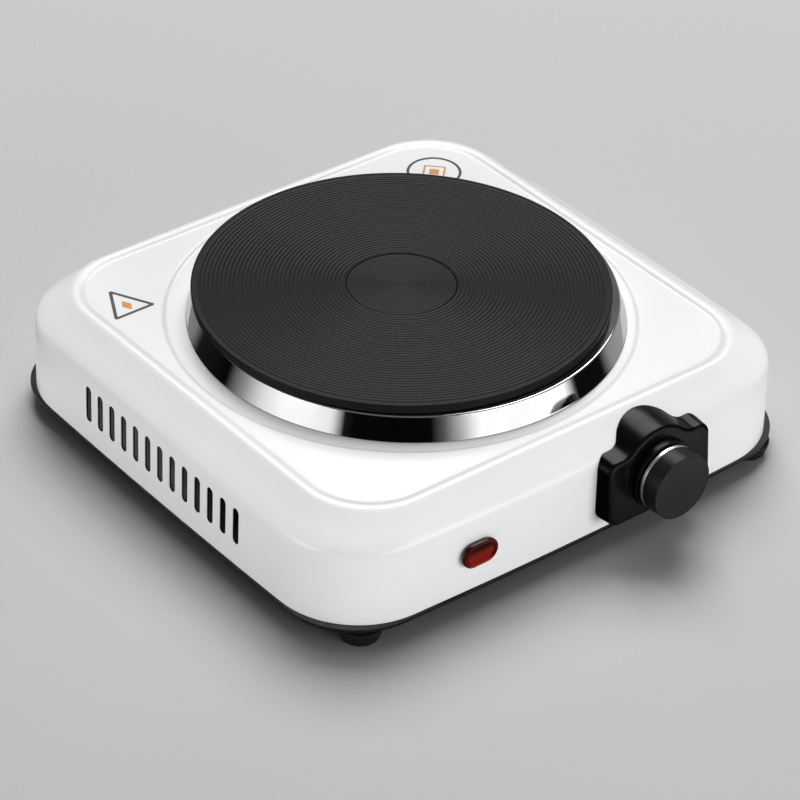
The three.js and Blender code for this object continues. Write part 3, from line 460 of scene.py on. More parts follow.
CORNERS = ["front_left", "front_right", "rear_left", "rear_right"]


def make_foot(corner, material):
    """A rubber foot, a tapered button with a soft lower edge and a sunk screw."""
    node = f"foot_{corner}"
    low, high = box_mm(node)
    radius = (high.x - low.x) / 2
    bottom = radius - 1.7
    recess, hole = 4.6, 2.3  # radii of the sinking for the screw's head and of the hole for its shank
    seat = low.z + 3.6
    profile = rounded(
        [
            (0, recess, seat),
            (0.4, recess, low.z),
            (1.1, bottom, low.z),
            (0.8, radius, high.z - 1.2),
            (0.3, radius, high.z),
            (0, hole, high.z),
            (0, hole, seat),
        ]
    )
    middle = (low + high) / 2
    foot = turned(f"rubber_foot_{corner}", profile, middle.xy, segments=64, closed=True)
    smooth(foot)
    finish_piece(foot, material, stands_for=[node])


def make_screw(node, head, material):
    """A pan-head screw pointing up, with a cross recess in the underside of its head, head mm high."""
    low, high = box_mm(node)
    middle = (low + high) / 2
    radius = (high.x - low.x) / 2
    shank = radius * 0.47
    profile = rounded(
        [
            (0, 0, low.z),
            (head * 0.6, radius * 0.72, low.z),
            (head * 0.4, radius, low.z + head * 0.55),
            (0.1, radius, low.z + head),
            (0.1, shank, low.z + head),
            (0.2, shank, high.z - 0.5),
            (0.2, shank - 0.5, high.z),
            (0, 0, high.z),
        ]
    )
    screw = turned(f"{node}_fine", profile, middle.xy, segments=40)
    reach, half = radius * 0.52, radius * 0.1
    for across, along in ((reach, half), (half, reach)):
        rings = []
        for size, z in ((1, low.z - 0.2), (0.5, low.z + head * 0.7)):
            rings.append(
                np.array(
                    [
                        (middle.x + a * across * size, middle.y + b * along * size, z)
                        for a, b in ((-1, -1), (1, -1), (1, 1), (-1, 1))
                    ]
                )
            )
        combine(screw, place_mesh("recess", *swept(rings)), "DIFFERENCE")
    smooth(screw)
    finish_piece(screw, material, stands_for=[node])


# ---- burner
PLATE_LOW, PLATE_HIGH = box_mm("hot_plate")
PLATE_RADIUS = (PLATE_HIGH.x - PLATE_LOW.x) / 2
PLATE_CENTRE = middle_mm("hot_plate")
PLATE_TOP = PLATE_HIGH.z
PLATE_RIM = 4.3
DISC_RADIUS = 24.4
DISC_DROP = 0.5
GROOVE = {"pitch": 1.87, "depth": 0.2, "last": 89.8}
FINE_GROOVE = {"pitch": 1.35, "depth": 0.11}


def grooves(start, end, pitch, depth, top, steps=6):
    """Profile of turned grooves, round at the bottom and at the ridges, from radius start to end."""
    count = round((end - start) / pitch)
    radii = np.linspace(start, end, count * steps + 1)
    phase = (radii - start) / (end - start) * count
    heights = top - depth * (0.5 - 0.5 * np.cos(2 * np.pi * phase))
    return list(zip(radii, heights))


def make_plate(material):
    """The cast-iron plate: a sunk disc and rings of grooves on top, a rim, and a hollow underneath."""
    under = PLATE_LOW.z
    rim = PLATE_TOP - PLATE_RIM
    disc = PLATE_TOP - DISC_DROP
    shoulder = HOLE_RADIUS - 4
    hollow = under + 9.7
    top = [
        *grooves(0.0, DISC_RADIUS - 0.6, FINE_GROOVE["pitch"], FINE_GROOVE["depth"], disc),
        (DISC_RADIUS - 0.25, disc - 0.05),
        (DISC_RADIUS + 0.15, PLATE_TOP - 0.06),
        *grooves(DISC_RADIUS + 0.6, GROOVE["last"], GROOVE["pitch"], GROOVE["depth"], PLATE_TOP),
    ]
    side = rounded(
        [
            (0, GROOVE["last"] + 0.3, PLATE_TOP),
            (0.7, PLATE_RADIUS, PLATE_TOP),
            (0.7, PLATE_RADIUS - 0.2, rim),
            (0.5, shoulder + 0.5, rim),
            (0.5, shoulder, under),
            (1, shoulder - 5, under),
            (1, shoulder - 6, hollow),
            (2, 36, hollow),
            (1, 14, under + 1.7),
            (0, 0, under + 0.7),
        ],
        steps=5,
    )
    plate = turned("cast_iron_plate", [*top, *side], PLATE_CENTRE.xy, segments=224)
    smooth(plate, 60)
    finish_piece(plate, material, stands_for=["hot_plate"])


def make_ring(material):
    """The polished skirt under the plate's rim, with a rolled lip and a small foot flange."""
    low, high = box_mm("trim_ring")
    bottom = (high.x - low.x) / 2
    top = bottom - 3.75
    inner = top - 7.4
    wall = 0.9
    profile = rounded(
        [
            (0, bottom - wall, low.z),
            (0.2, bottom, low.z),
            (0.3, bottom - 0.25, low.z + 0.5),
            (0.8, top, high.z),
            (0.4, inner, high.z),
            (0.3, inner, high.z - wall),
            (0.9, top - 1.0, high.z - wall),
            (0.6, bottom - wall - 0.4, low.z + 0.8),
            (0, bottom - wall, low.z),
        ],
        steps=6,
    )
    middle = middle_mm("trim_ring")
    ring = turned("polished_trim_ring", profile[:-1], middle.xy, segments=256, closed=True)
    smooth(ring, 60)
    finish_piece(ring, material, stands_for=["trim_ring"])


# ---- knob and control housing
KNOB_LOW, KNOB_HIGH = box_mm("knob")
KNOB = (KNOB_LOW + KNOB_HIGH) / 2
KNOB_RADIUS = (KNOB_HIGH.x - KNOB_LOW.x) / 2
BAND_LOW, BAND_HIGH = box_mm("knob_trim_band")
BLOCK_LOW, BLOCK_HIGH = box_mm("control_housing")


def make_knob(material):
    """The round knob, hollow behind, with a hub for the shaft and a neck that carries the silver band."""
    face, back = KNOB_LOW.y, KNOB_HIGH.y
    neck = KNOB_RADIUS - 1.4
    skirt = neck - 1.6
    hub, bore = 5.4, 3.15
    shoulder = BAND_LOW.y - GAP / 2
    profile = rounded(
        [
            (0, 0, face + 0.12),
            (0, KNOB_RADIUS - 1.6, face + 0.12),
            (0.4, KNOB_RADIUS - 0.9, face),
            (0.6, KNOB_RADIUS - 0.12, face),
            (0.3, KNOB_RADIUS, shoulder),
            (0, neck, shoulder),
            (0, neck, back),
            (0, skirt, back),
            (0.5, skirt, face + 3),
            (0.5, hub, face + 3),
            (0.2, hub, back),
            (0.2, bore, back),
            (0.2, bore, face + 4),
            (0, 0, face + 4),
        ]
    )
    knob = turned("control_knob", profile, (KNOB.x, KNOB.z), "Y", 128)
    smooth(knob)
    finish_piece(knob, material, "control", ["knob"])


def make_band(material):
    """The silver band round the knob's neck."""
    outer = (BAND_HIGH.x - BAND_LOW.x) / 2
    inner = outer - 1.0
    front, back = BAND_LOW.y, BAND_HIGH.y - 0.7
    profile = rounded(
        [
            (0, inner, front),
            (0.25, outer, front),
            (0.25, outer, back),
            (0.1, inner, back),
            (0, inner, front),
        ]
    )
    band = turned("knob_silver_band", profile[:-1], (KNOB.x, KNOB.z), "Y", 128, closed=True)
    smooth(band)
    finish_piece(band, material, "control", ["knob_trim_band"])


BLOCK_SHOULDER = 47.4
BLOCK_CORNER = 5
BLOCK_FILLET = 9.5
BLOCK_EDGE = 2.0  # rounding round the face
BLOCK_GROWN = 0.8  # how much larger the block is where it runs into the housing's wall
BLOCK_DRAFT = 0.1
BLOCK_LEAN = 0.093
BLOCK_FACE = BODY_Y - 136.7  # the face at its lower edge
BLOCK_BACK = BODY_Y - 100
BOSS_RADIUS = 16.2
BOSS_LENGTH = 8
SHAFT_POCKET_RADIUS = 7.4


def block_outline(inward):
    """Outline of the control block moved inwards, in X from the knob's axis and Z: square shoulders and
    an arch about the knob, met by hollow fillets."""
    half = (BLOCK_HIGH.x - BLOCK_LOW.x) / 2
    bottom = BLOCK_LOW.z
    arch = BLOCK_HIGH.z - KNOB.z
    fillet_z = BLOCK_SHOULDER + BLOCK_FILLET
    fillet_x = math.sqrt((arch + BLOCK_FILLET) ** 2 - (fillet_z - KNOB.z) ** 2)
    touch = math.degrees(math.atan2(fillet_z - KNOB.z, fillet_x))
    x, low, high = half - BLOCK_CORNER, bottom + BLOCK_CORNER, BLOCK_SHOULDER - BLOCK_CORNER
    corner, fillet = BLOCK_CORNER - inward, BLOCK_FILLET + inward
    return [
        *arc(x, low, corner, -90, 0, 8),
        *arc(x, high, corner, 0, 90, 8),
        *arc(fillet_x, fillet_z, fillet, -90, touch - 180, 10),
        *arc(0, KNOB.z, arch - inward, touch, 180 - touch, 28)[1:-1],
        *arc(-fillet_x, fillet_z, fillet, -touch, -90, 10),
        *arc(-x, high, corner, 90, 180, 8),
        *arc(-x, low, corner, 180, 270, 8),
    ]


def make_block(material):
    """The moulded block that the knob stands on: a leaning face with a rounded edge and a round boss."""

    def ring(inward, behind):
        return np.array(
            [
                (KNOB.x + x, BLOCK_FACE + BLOCK_LEAN * (z - BLOCK_LOW.z) + behind, z)
                for x, z in block_outline(inward)
            ]
        )

    rings = [ring(-BLOCK_GROWN, BLOCK_BACK - BLOCK_FACE - 4), ring(-BLOCK_GROWN, 14)]
    for angle in np.radians(np.linspace(0, 90, 9)):
        inward = BLOCK_DRAFT + BLOCK_EDGE * (1 - math.cos(angle))
        rings.append(ring(inward, BLOCK_EDGE * (1 - math.sin(angle))))
    block = place_mesh("control_block", *swept(rings))
    axis = (KNOB.x, KNOB.z)
    front = BAND_HIGH.y + GAP
    back = front + BOSS_LENGTH
    profile = rounded([(0, 0, front), (0.5, BOSS_RADIUS, front), (0, BOSS_RADIUS + 0.2, back), (0, 0, back)])
    combine(block, turned("boss", profile, axis, "Y"), "UNION")
    pocket = drill(axis, "Y", SHAFT_POCKET_RADIUS, front - 3, BLOCK_BACK + 9)
    combine(block, pocket, "DIFFERENCE")
    combine(block, housing_form(), "DIFFERENCE")
    smooth(block, 42)
    finish_piece(block, material, stands_for=["control_housing"])


def housing_form():
    """The solid inside the housing's outside, a little larger, for trimming what is fitted to it."""
    clear = GAP / 2
    stations = [station + np.array([clear, clear, clear, clear, 0]) for station in shell_path()]
    crest = [station for station in stations if station[0] > PANEL_HALF]
    low = crest[0].copy()
    low[3] = -BASE_Z
    rings = [outline_ring(station, outline_angles(40)) for station in [low, *crest]]
    return place_mesh("housing_form", *swept(rings))


# ---- indicator lamp
LENS_LOW, LENS_HIGH = box_mm("lamp_lens")
LENS = (LENS_LOW + LENS_HIGH) / 2


def lens_ring(inward, y, steps=16):
    """The lens's outline moved inwards, at the depth y."""
    width, height = LENS_HIGH.x - LENS_LOW.x, LENS_HIGH.z - LENS_LOW.z
    ring = stadium_ring(width - 2 * inward, height - 2 * inward, steps)
    return np.array([(LENS.x + u, y, LENS.z + v) for u, v in ring])


def make_lens(material):
    """The lamp's red bezel: a rounded rim round a sunk floor, with a plug behind it through the wall."""
    face = LENS_LOW.y
    back = LENS_HIGH.y
    seat, floor = face + 1.72, face + 0.9
    plug, middle = 2.0, 3.5  # how far inside the outline the plug and the filled ends lie
    path = rounded(
        [
            (0, middle, back),
            (0, plug, back),
            (0, plug, seat),
            (0, 0.0, seat),
            (0.5, 0.0, face + 0.45),
            (0.6, 0.75, face),
            (0.5, 1.5, face + 0.25),
            (0.3, 1.9, floor),
            (0, middle, floor),
        ]
    )
    lens = place_mesh("lamp_bezel", *swept([lens_ring(inward, y) for inward, y in path]))
    smooth(lens, 50)
    finish_piece(lens, material, stands_for=["lamp_lens"])


RIB_PITCH = 0.72
RIB_DEPTH = 0.18
BEZEL_WIDTH = 2.15  # from the lens's outline to the window's


def make_lamp_window(material):
    """The window inside the bezel, crowned, and ribbed from top to bottom."""
    half_width = (LENS_HIGH.x - LENS_LOW.x) / 2 - BEZEL_WIDTH
    half_height = (LENS_HIGH.z - LENS_LOW.z) / 2 - BEZEL_WIDTH
    flat = half_width - half_height
    front, back = LENS_LOW.y + 0.28, LENS_LOW.y + 0.95
    ribs = int(2 * half_width / RIB_PITCH)
    xs = np.linspace(-half_width + 0.02, half_width - 0.02, ribs * 8 + 1)
    heights = np.sqrt(half_height**2 - np.maximum(0, np.abs(xs) - flat) ** 2)
    shares = np.sin(np.linspace(-np.pi / 2, np.pi / 2, 13))
    verts, faces = [], []
    for x, top in zip(xs, heights):
        rib = RIB_DEPTH / 2 * (1 - math.cos(2 * math.pi * x / RIB_PITCH))
        for share in shares:
            crown = 0.25 * share**2 + 0.18 * (x / half_width) ** 4
            verts.append((LENS.x + x, min(back, front + rib + crown), LENS.z + top * share))
        verts += [(LENS.x + x, back, LENS.z + top * share) for share in shares[::-1]]
    loop = 2 * len(shares)
    for i in range(len(xs) - 1):
        for j in range(loop):
            k = (j + 1) % loop
            faces.append((i * loop + j, i * loop + k, (i + 1) * loop + k, (i + 1) * loop + j))
    faces += [tuple(range(loop)), tuple(range((len(xs) - 1) * loop, len(xs) * loop))]
    window = place_mesh("lamp_window", verts, faces)
    smooth(window, 60)
    finish_piece(window, material)


# ---- cord gland
def make_gland(material):
    """The rubber bush in the rear wall: a collar outside, a neck in the hole and a barbed sleeve inside."""
    low, high = box_mm("cord_gland")
    bore = 3.8
    collar = (high.x - low.x) / 2
    sleeve, neck = collar - 1.4, collar - 2.7
    wall = high.y - 3
    barb = wall - 3.7
    profile = rounded(
        [
            (0, bore, low.y),
            (0.4, sleeve, low.y),
            (0.2, sleeve, barb),
            (0.2, neck, barb),
            (0.1, neck, wall + GAP),
            (0.1, collar, wall + GAP),
            (0.8, collar, high.y - 1),
            (0.6, bore + 1.6, high.y),
            (0.5, bore, high.y),
            (0, bore, low.y),
        ]
    )
    middle = (low + high) / 2
    gland = turned("gland_bush", profile[:-1], (middle.x, middle.z), "Y", 96, closed=True)
    smooth(gland)
    finish_piece(gland, material, stands_for=["cord_gland"])


# ---- printed marks
INK_LOW = PANEL_Z + 0.02  # just clear of the panel
INK_HIGH = INK_LOW + 0.05


def band_between(name, outer, inner, material):
    """A flat printed line on the panel between two outlines with the same number of points."""
    rings = [*raised(outer, INK_LOW, INK_HIGH), *raised(inner, INK_HIGH, INK_LOW)]
    finish_piece(place_mesh(name, *looped(rings)), material)


def printed_patch(name, outline, material):
    """A flat printed shape on the panel, filled."""
    finish_piece(place_mesh(name, *swept(raised(outline, INK_LOW, INK_HIGH))), material)


def polygon_ring(corners, inward, rounding, steps=5):
    """A polygon with anticlockwise corners, moved inwards, its corners rounded with short arcs."""
    points = [Vector(corner) for corner in corners]
    ring = []
    for i, here in enumerate(points):
        back = (points[i - 1] - here).normalized()
        ahead = (points[(i + 1) % len(points)] - here).normalized()
        bisector = (back + ahead).normalized()
        half_angle = back.angle(ahead) / 2
        centre = here + bisector * (inward + rounding) / math.sin(half_angle)
        middle = math.degrees(math.atan2(-bisector.y, -bisector.x))
        spread = 90 - math.degrees(half_angle)
        ring += arc(centre.x, centre.y, rounding, middle - spread, middle + spread, steps)
    return ring


def lozenge(centre, half_width, half_height):
    x, y = centre
    return [(x + half_width, y), (x, y + half_height), (x - half_width, y), (x, y - half_height)]


TRIANGLE = [(-105.3, BODY_Y + 68.6), (-83.3, BODY_Y + 68.6), (-94.3, BODY_Y + 89.9)]
BADGE_CENTRE = (85.2, BODY_Y + 83.0)
BADGE_RADIUS = 12.9


def make_marks(ink, orange):
    """Plain printed outlines: a triangle round a lozenge, and a circle round two lozenges."""
    outer, inner = polygon_ring(TRIANGLE, 0, 1.0), polygon_ring(TRIANGLE, 1.5, 0.3)
    band_between("mark_triangle", outer, inner, ink)
    middle = ((TRIANGLE[0][0] + TRIANGLE[1][0]) / 2, TRIANGLE[0][1] + 6.8)
    printed_patch("mark_lozenge_1", polygon_ring(lozenge(middle, 2.3, 4.2), 0, 0.4), orange)
    outer = arc(*BADGE_CENTRE, BADGE_RADIUS, 0, 360, 96)[:-1]
    inner = arc(*BADGE_CENTRE, BADGE_RADIUS - 1.3, 0, 360, 96)[:-1]
    band_between("mark_circle", outer, inner, ink)
    diamond = lozenge(BADGE_CENTRE, 7.4, 7.4)
    outer, inner = polygon_ring(diamond, 0, 0.6), polygon_ring(diamond, 0.9, 0.2)
    band_between("mark_diamond", outer, inner, orange)
    small = lozenge(BADGE_CENTRE, 3.2, 3.2)
    printed_patch("mark_lozenge_2", polygon_ring(small, 0, 0.4), orange)


# ---- materials
class Nodes:
    """A material under construction, with short calls for the nodes that the materials share."""

    def __init__(self, name):
        self.material = bpy.data.materials.new(name)
        self.material.use_nodes = True
        self.tree = self.material.node_tree
        self.shader = self.tree.nodes["Principled BSDF"]
        coordinates = self.tree.nodes.new("ShaderNodeTexCoord")
        self.place = coordinates.outputs["Object"]

    def set(self, **values):
        for name, value in values.items():
            self.shader.inputs[name.replace("_", " ")].default_value = value
        return self

    def link(self, output, socket):
        self.tree.links.new(output, self.shader.inputs[socket])

    def node(self, kind, inputs=(), **settings):
        """A new node. Each input is a number or colour, or another node's output."""
        node = self.tree.nodes.new(kind)
        for name, value in settings.items():
            setattr(node, name, value)
        for socket, value in dict(inputs).items():
            if isinstance(value, bpy.types.NodeSocket):
                self.tree.links.new(value, node.inputs[socket])
            else:
                node.inputs[socket].default_value = value
        return node

    def noise(self, scale, detail=4, roughness=0.55, stretch=None):
        where = self.place
        if stretch:
            where = self.node("ShaderNodeMapping", {"Vector": where, "Scale": stretch}).outputs[0]
        inputs = {"Vector": where, "Scale": scale, "Detail": detail, "Roughness": roughness}
        return self.node("ShaderNodeTexNoise", inputs).outputs["Fac"]

    def ramp(self, factor, low, high, start=0.3, end=0.7):
        """A number between low and high as factor goes from start to end."""
        inputs = {"Value": factor, 1: start, 2: end, 3: low, 4: high}
        return self.node("ShaderNodeMapRange", inputs).outputs[0]

    def mix(self, factor, first, second):
        """The colour between two colours, each of them three numbers or another node's output."""
        first_input, second_input, colour_output = 6, 7, 2  # the Mix node's own numbering
        inputs = {0: factor}
        for index, colour in ((first_input, first), (second_input, second)):
            inputs[index] = colour if isinstance(colour, bpy.types.NodeSocket) else (*colour, 1)
        return self.node("ShaderNodeMix", inputs, data_type="RGBA").outputs[colour_output]

    def bump(self, height, distance):
        """The normal over small relief. The distance is the relief's depth in millimetres."""
        return self.node("ShaderNodeBump", {"Height": height, "Distance": distance * MM}).outputs[0]

    def finished(self, colour, roughness, normal):
        """The material, with what varies over its surface linked to the shader."""
        self.link(colour, "Base Color")
        self.link(roughness, "Roughness")
        self.link(normal, "Normal")
        return self.material


def grained(name, dark, light, rough, scale=220, bump=0.01, bump_scale=900, **values):
    """Colour that drifts between two close tones, roughness that follows, and a fine grain."""
    nodes = Nodes(name).set(**values)
    tone = nodes.mix(nodes.ramp(nodes.noise(scale), 0, 1), dark, light)
    roughness = nodes.ramp(nodes.noise(scale * 2.3), *rough)
    return nodes.finished(tone, roughness, nodes.bump(nodes.noise(bump_scale, 2), bump))


def enamel():
    """White stoved enamel: nearly even, with a faint orange peel and a clear top."""
    nodes = Nodes("white_enamel").set(Specular_IOR_Level=0.5, Coat_Weight=0.15, Coat_Roughness=0.12)
    tone = nodes.mix(nodes.ramp(nodes.noise(9, 3), 0, 1), (0.875, 0.88, 0.88), (0.905, 0.91, 0.905))
    roughness = nodes.ramp(nodes.noise(60, 3), 0.3, 0.38)
    return nodes.finished(tone, roughness, nodes.bump(nodes.noise(420, 2), 0.012))


def radius_from(nodes, centre):
    """Distance of the point from an upright axis, in metres."""
    kind = "ShaderNodeVectorMath"
    axis = (centre.x * MM, centre.y * MM, 0)
    away = nodes.node(kind, {0: nodes.place, 1: axis}, operation="SUBTRACT").outputs[0]
    flat = nodes.node(kind, {0: away, 1: (1, 1, 0)}, operation="MULTIPLY").outputs[0]
    return nodes.node(kind, {0: flat}, operation="LENGTH").outputs["Value"]


def cast_iron():
    """Blackened cast iron, turned: fine tool marks between the grooves, a dry speckle of grain."""
    nodes = Nodes("blackened_cast_iron").set(Specular_IOR_Level=0.075)
    radius = radius_from(nodes, PLATE_CENTRE)
    lathe = nodes.node(
        "ShaderNodeTexNoise",
        {"W": radius, "Scale": 2600, "Detail": 3, "Roughness": 0.6},
        noise_dimensions="1D",
    ).outputs["Fac"]
    grain = nodes.noise(1600, 3)
    tone = nodes.mix(nodes.ramp(grain, 0, 1), (0.006, 0.006, 0.0064), (0.0105, 0.0105, 0.011))
    patch = nodes.ramp(nodes.noise(26, 4), 0, 0.35)
    worn = nodes.mix(patch, tone, (0.013, 0.013, 0.0135))
    both = nodes.node("ShaderNodeMath", {0: lathe, 1: grain}, operation="ADD").outputs[0]
    return nodes.finished(worn, nodes.ramp(grain, 0.28, 0.38), nodes.bump(both, 0.02))


def polished_steel():
    """Polished steel with faint marks running round the ring."""
    nodes = Nodes("polished_steel").set(Metallic=1.0)
    radius = radius_from(nodes, middle_mm("trim_ring"))
    height = nodes.node("ShaderNodeSeparateXYZ", {0: nodes.place}).outputs["Z"]
    both = nodes.node("ShaderNodeMath", {0: radius, 1: height}, operation="SUBTRACT").outputs[0]
    marks = nodes.node(
        "ShaderNodeTexNoise", {"W": both, "Scale": 1900, "Detail": 4}, noise_dimensions="1D"
    ).outputs["Fac"]
    haze = nodes.noise(60, 4)
    tone = nodes.mix(nodes.ramp(haze, 0, 1), (0.8, 0.805, 0.81), (0.87, 0.87, 0.87))
    return nodes.finished(tone, nodes.ramp(haze, 0.03, 0.07), nodes.bump(marks, 0.0016))


def satin_band():
    """Satin aluminium, brushed round the knob."""
    nodes = Nodes("satin_aluminium").set(Metallic=1.0)
    streaks = nodes.noise(180, 3, stretch=(1, 14, 1))
    tone = nodes.mix(nodes.ramp(streaks, 0, 1), (0.62, 0.62, 0.61), (0.75, 0.75, 0.74))
    return nodes.finished(tone, nodes.ramp(streaks, 0.26, 0.38), nodes.bump(streaks, 0.004))


def painted_light_by_height(nodes, low, high):
    """0 at the height low and 1 at the height high, both in millimetres, for light and shade painted by
    height.
    """
    height = nodes.node("ShaderNodeSeparateXYZ", {0: nodes.place}).outputs["Z"]
    return nodes.ramp(height, 0, 1, low * MM, high * MM)


def red_lens():
    """Clear red plastic, a cloudy deep red, with painted light: a lighter red painted along its lower edge
    by height, where the light leaves it.
    """
    nodes = Nodes("clear_red").set(Specular_IOR_Level=0.12)
    cloud = nodes.noise(300, 3)
    deep = nodes.mix(nodes.ramp(cloud, 0, 1), (0.045, 0.001, 0.0006), (0.08, 0.002, 0.001))
    # Painted light: the lower edge is painted a lighter red, by height.
    share = painted_light_by_height(nodes, LENS_LOW.z + 0.2, LENS_LOW.z + 2.6)
    tone = nodes.mix(share, (0.5, 0.018, 0.006), deep)
    return nodes.finished(tone, nodes.ramp(cloud, 0.08, 0.16), nodes.bump(nodes.noise(500, 2), 0.004))


def red_window():
    """The ribbed window, with a painted highlight down the middle of each rib and painted shade under the
    bezel's upper edge, darker towards its top.
    """
    nodes = Nodes("red_window").set(Specular_IOR_Level=0.12)
    # The Wave texture repeats every 2 pi / (20 * scale).
    scale = 2 * math.pi / (20 * RIB_PITCH * MM)
    inputs = {"Vector": nodes.place, "Scale": scale, "Distortion": 0.0}
    wave = nodes.node("ShaderNodeTexWave", inputs, bands_direction="X").outputs["Fac"]
    cloud = nodes.noise(260, 3)
    both = nodes.node("ShaderNodeMath", {0: wave, 1: cloud}, operation="MULTIPLY").outputs[0]
    # Painted highlight: the middle of each rib is painted a lighter red.
    rib_highlight = nodes.ramp(both, 0, 1, 0.05, 0.55)
    ribs = nodes.mix(rib_highlight, (0.12, 0.003, 0.001), (0.46, 0.018, 0.006))
    # Painted shade: the window is painted dark towards its top, under the bezel's upper edge.
    share = painted_light_by_height(nodes, LENS.z + 0.2, LENS.z + 2.4)
    tone = nodes.mix(share, ribs, (0.018, 0.0012, 0.001))
    return nodes.finished(tone, nodes.ramp(cloud, 0.25, 0.35), nodes.bump(wave, 0.05))


def make_materials():
    """Every material, by the record's slot or by a name of its own. grained() takes the name, the two
    tones and the range of the roughness first."""
    plated = {"scale": 300, "bump": 0.006, "bump_scale": 1300, "Metallic": 1.0}
    plastic = {"scale": 120, "Specular_IOR_Level": 0.13}
    moulded = {"bump": 0.004, **plastic}
    turned_grip = {"bump": 0.012, **plastic}
    shade_inside_settings = {"scale": 60, "Specular_IOR_Level": 0.1}
    paint = {"scale": 90, "bump": 0.015, "Specular_IOR_Level": 0.25}
    ink = {"bump": 0.002}
    rubber = {"bump": 0.03, "Specular_IOR_Level": 0.2}
    sleeve = {"bump": 0.04, "bump_scale": 1500}
    glass = {"Transmission_Weight": 0.85, "IOR": 1.5}
    return {
        "enamel": enamel(),
        "cast_iron": cast_iron(),
        "polished_steel": polished_steel(),
        "satin_band": satin_band(),
        "red_lens": red_lens(),
        "red_window": red_window(),
        # Near-black painted shade for the housing's inside and its slots' edges.
        "painted_shade_inside": grained(
            "painted_shade_inside", (0.002, 0.002, 0.0022), (0.004, 0.004, 0.0044), (0.6, 0.75), **shade_inside_settings
        ),
        "black_paint": grained(
            "black_paint", (0.004, 0.004, 0.0043), (0.008, 0.008, 0.0085), (0.32, 0.45), **paint
        ),
        "black_plastic": grained(
            "moulded_black", (0.001, 0.001, 0.0011), (0.002, 0.002, 0.0022), (0.22, 0.3), **moulded
        ),
        "knob_plastic": grained(
            "knob_black", (0.008, 0.008, 0.0075), (0.012, 0.012, 0.0115), (0.3, 0.38), **turned_grip
        ),
        "rubber": grained("black_rubber", (0.004,) * 3, (0.007,) * 3, (0.6, 0.8), **rubber),
        "zinc_steel": grained(
            "zinc_plated_steel", (0.5, 0.51, 0.54), (0.68, 0.68, 0.66), (0.28, 0.45), **plated
        ),
        "brass": grained("brass", (0.62, 0.46, 0.19), (0.78, 0.62, 0.3), (0.22, 0.4), **plated),
        "ceramic": grained(
            "steatite_ceramic", (0.72, 0.68, 0.6), (0.84, 0.81, 0.74), (0.5, 0.65), bump=0.02
        ),
        "heat_sleeve": grained(
            "glass_sleeve", (0.7, 0.68, 0.62), (0.82, 0.8, 0.74), (0.6, 0.8), **sleeve
        ),
        "neon_glass": grained(
            "neon_glass", (0.9, 0.7, 0.55), (0.96, 0.82, 0.7), (0.04, 0.1), **glass
        ),
        "wire_brown": insulation("brown_insulation", (0.13, 0.055, 0.03)),
        "wire_red": insulation("red_insulation", (0.4, 0.04, 0.03)),
        "wire_blue": insulation("blue_insulation", (0.04, 0.1, 0.36)),
        "wire_green": insulation("green_insulation", (0.2, 0.34, 0.05)),
        "ink": grained("printed_black", (0.004,) * 3, (0.008,) * 3, (0.4, 0.5), **ink),
        "orange": grained("printed_orange", (0.62, 0.24, 0.02), (0.7, 0.3, 0.04), (0.4, 0.5), **ink),
    }


def insulation(name, colour):
    """A wire's soft covering, a little lighter in places."""
    lighter = tuple(c * 1.35 + 0.01 for c in colour)
    return grained(name, colour, lighter, (0.4, 0.55), scale=160, bump=0.012)


# ---- stage, lights and camera
FLOOR_HALF = 1.9  # metres from the middle to an edge


def make_floor():
    """A plain pale floor."""
    nodes = Nodes("pale_floor").set(Specular_IOR_Level=0.15)
    drift = nodes.noise(2.5, 2)
    tone = nodes.mix(nodes.ramp(drift, 0, 1), (0.685, 0.685, 0.699), (0.69, 0.69, 0.704))
    nodes.link(tone, "Base Color")
    nodes.link(nodes.ramp(drift, 0.75, 0.8), "Roughness")
    # Clear from below, so that the underside shows in a view from under the table.
    underneath = nodes.node("ShaderNodeNewGeometry").outputs["Backfacing"]
    clear = nodes.node("ShaderNodeBsdfTransparent").outputs[0]
    solid = nodes.shader.outputs["BSDF"]
    both = nodes.node("ShaderNodeMixShader", {0: underneath, 1: solid, 2: clear})
    surface = nodes.tree.nodes["Material Output"].inputs["Surface"]
    nodes.tree.links.new(both.outputs[0], surface)
    corners = [(x * FLOOR_HALF, y * FLOOR_HALF, 0) for x, y in ((-1, -1), (1, -1), (1, 1), (-1, 1))]
    stage_mesh("floor", corners, [(0, 1, 2, 3)], nodes.material)


def stage_mesh(name, points, faces, material):
    """A mesh in metres that belongs to the stage and not to the object."""
    mesh = bpy.data.meshes.new(name)
    mesh.from_pydata(points, [], faces)
    mesh.materials.append(material)
    obj = bpy.data.objects.new(name, mesh)
    bpy.context.scene.collection.objects.link(obj)
    obj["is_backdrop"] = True
    return obj


def direction(azimuth, elevation):
    """The way from the object to where a light or the camera stands, from angles in radians."""
    level = math.cos(elevation)
    return Vector((math.sin(azimuth) * level, -math.cos(azimuth) * level, math.sin(elevation)))


LIGHT_TARGET = Vector((0, 0, 0.03))  # metres, low in the middle of the object


def add_panel(name, azimuth, elevation, distance, size, power):
    """A rectangular soft light. Azimuth 0 stands in front of the object and 90 on its right."""
    light = bpy.data.lights.new(name, "AREA")
    light.shape = "RECTANGLE"
    light.size, light.size_y = size
    light.energy = power
    holder = bpy.data.objects.new(name, light)
    bpy.context.scene.collection.objects.link(holder)
    away = direction(math.radians(azimuth), math.radians(elevation))
    holder.location = LIGHT_TARGET + away * distance
    holder.rotation_mode = "QUATERNION"
    holder.rotation_quaternion = (-away).to_track_quat("-Z", "Y")
    holder.visible_camera = False
    return holder


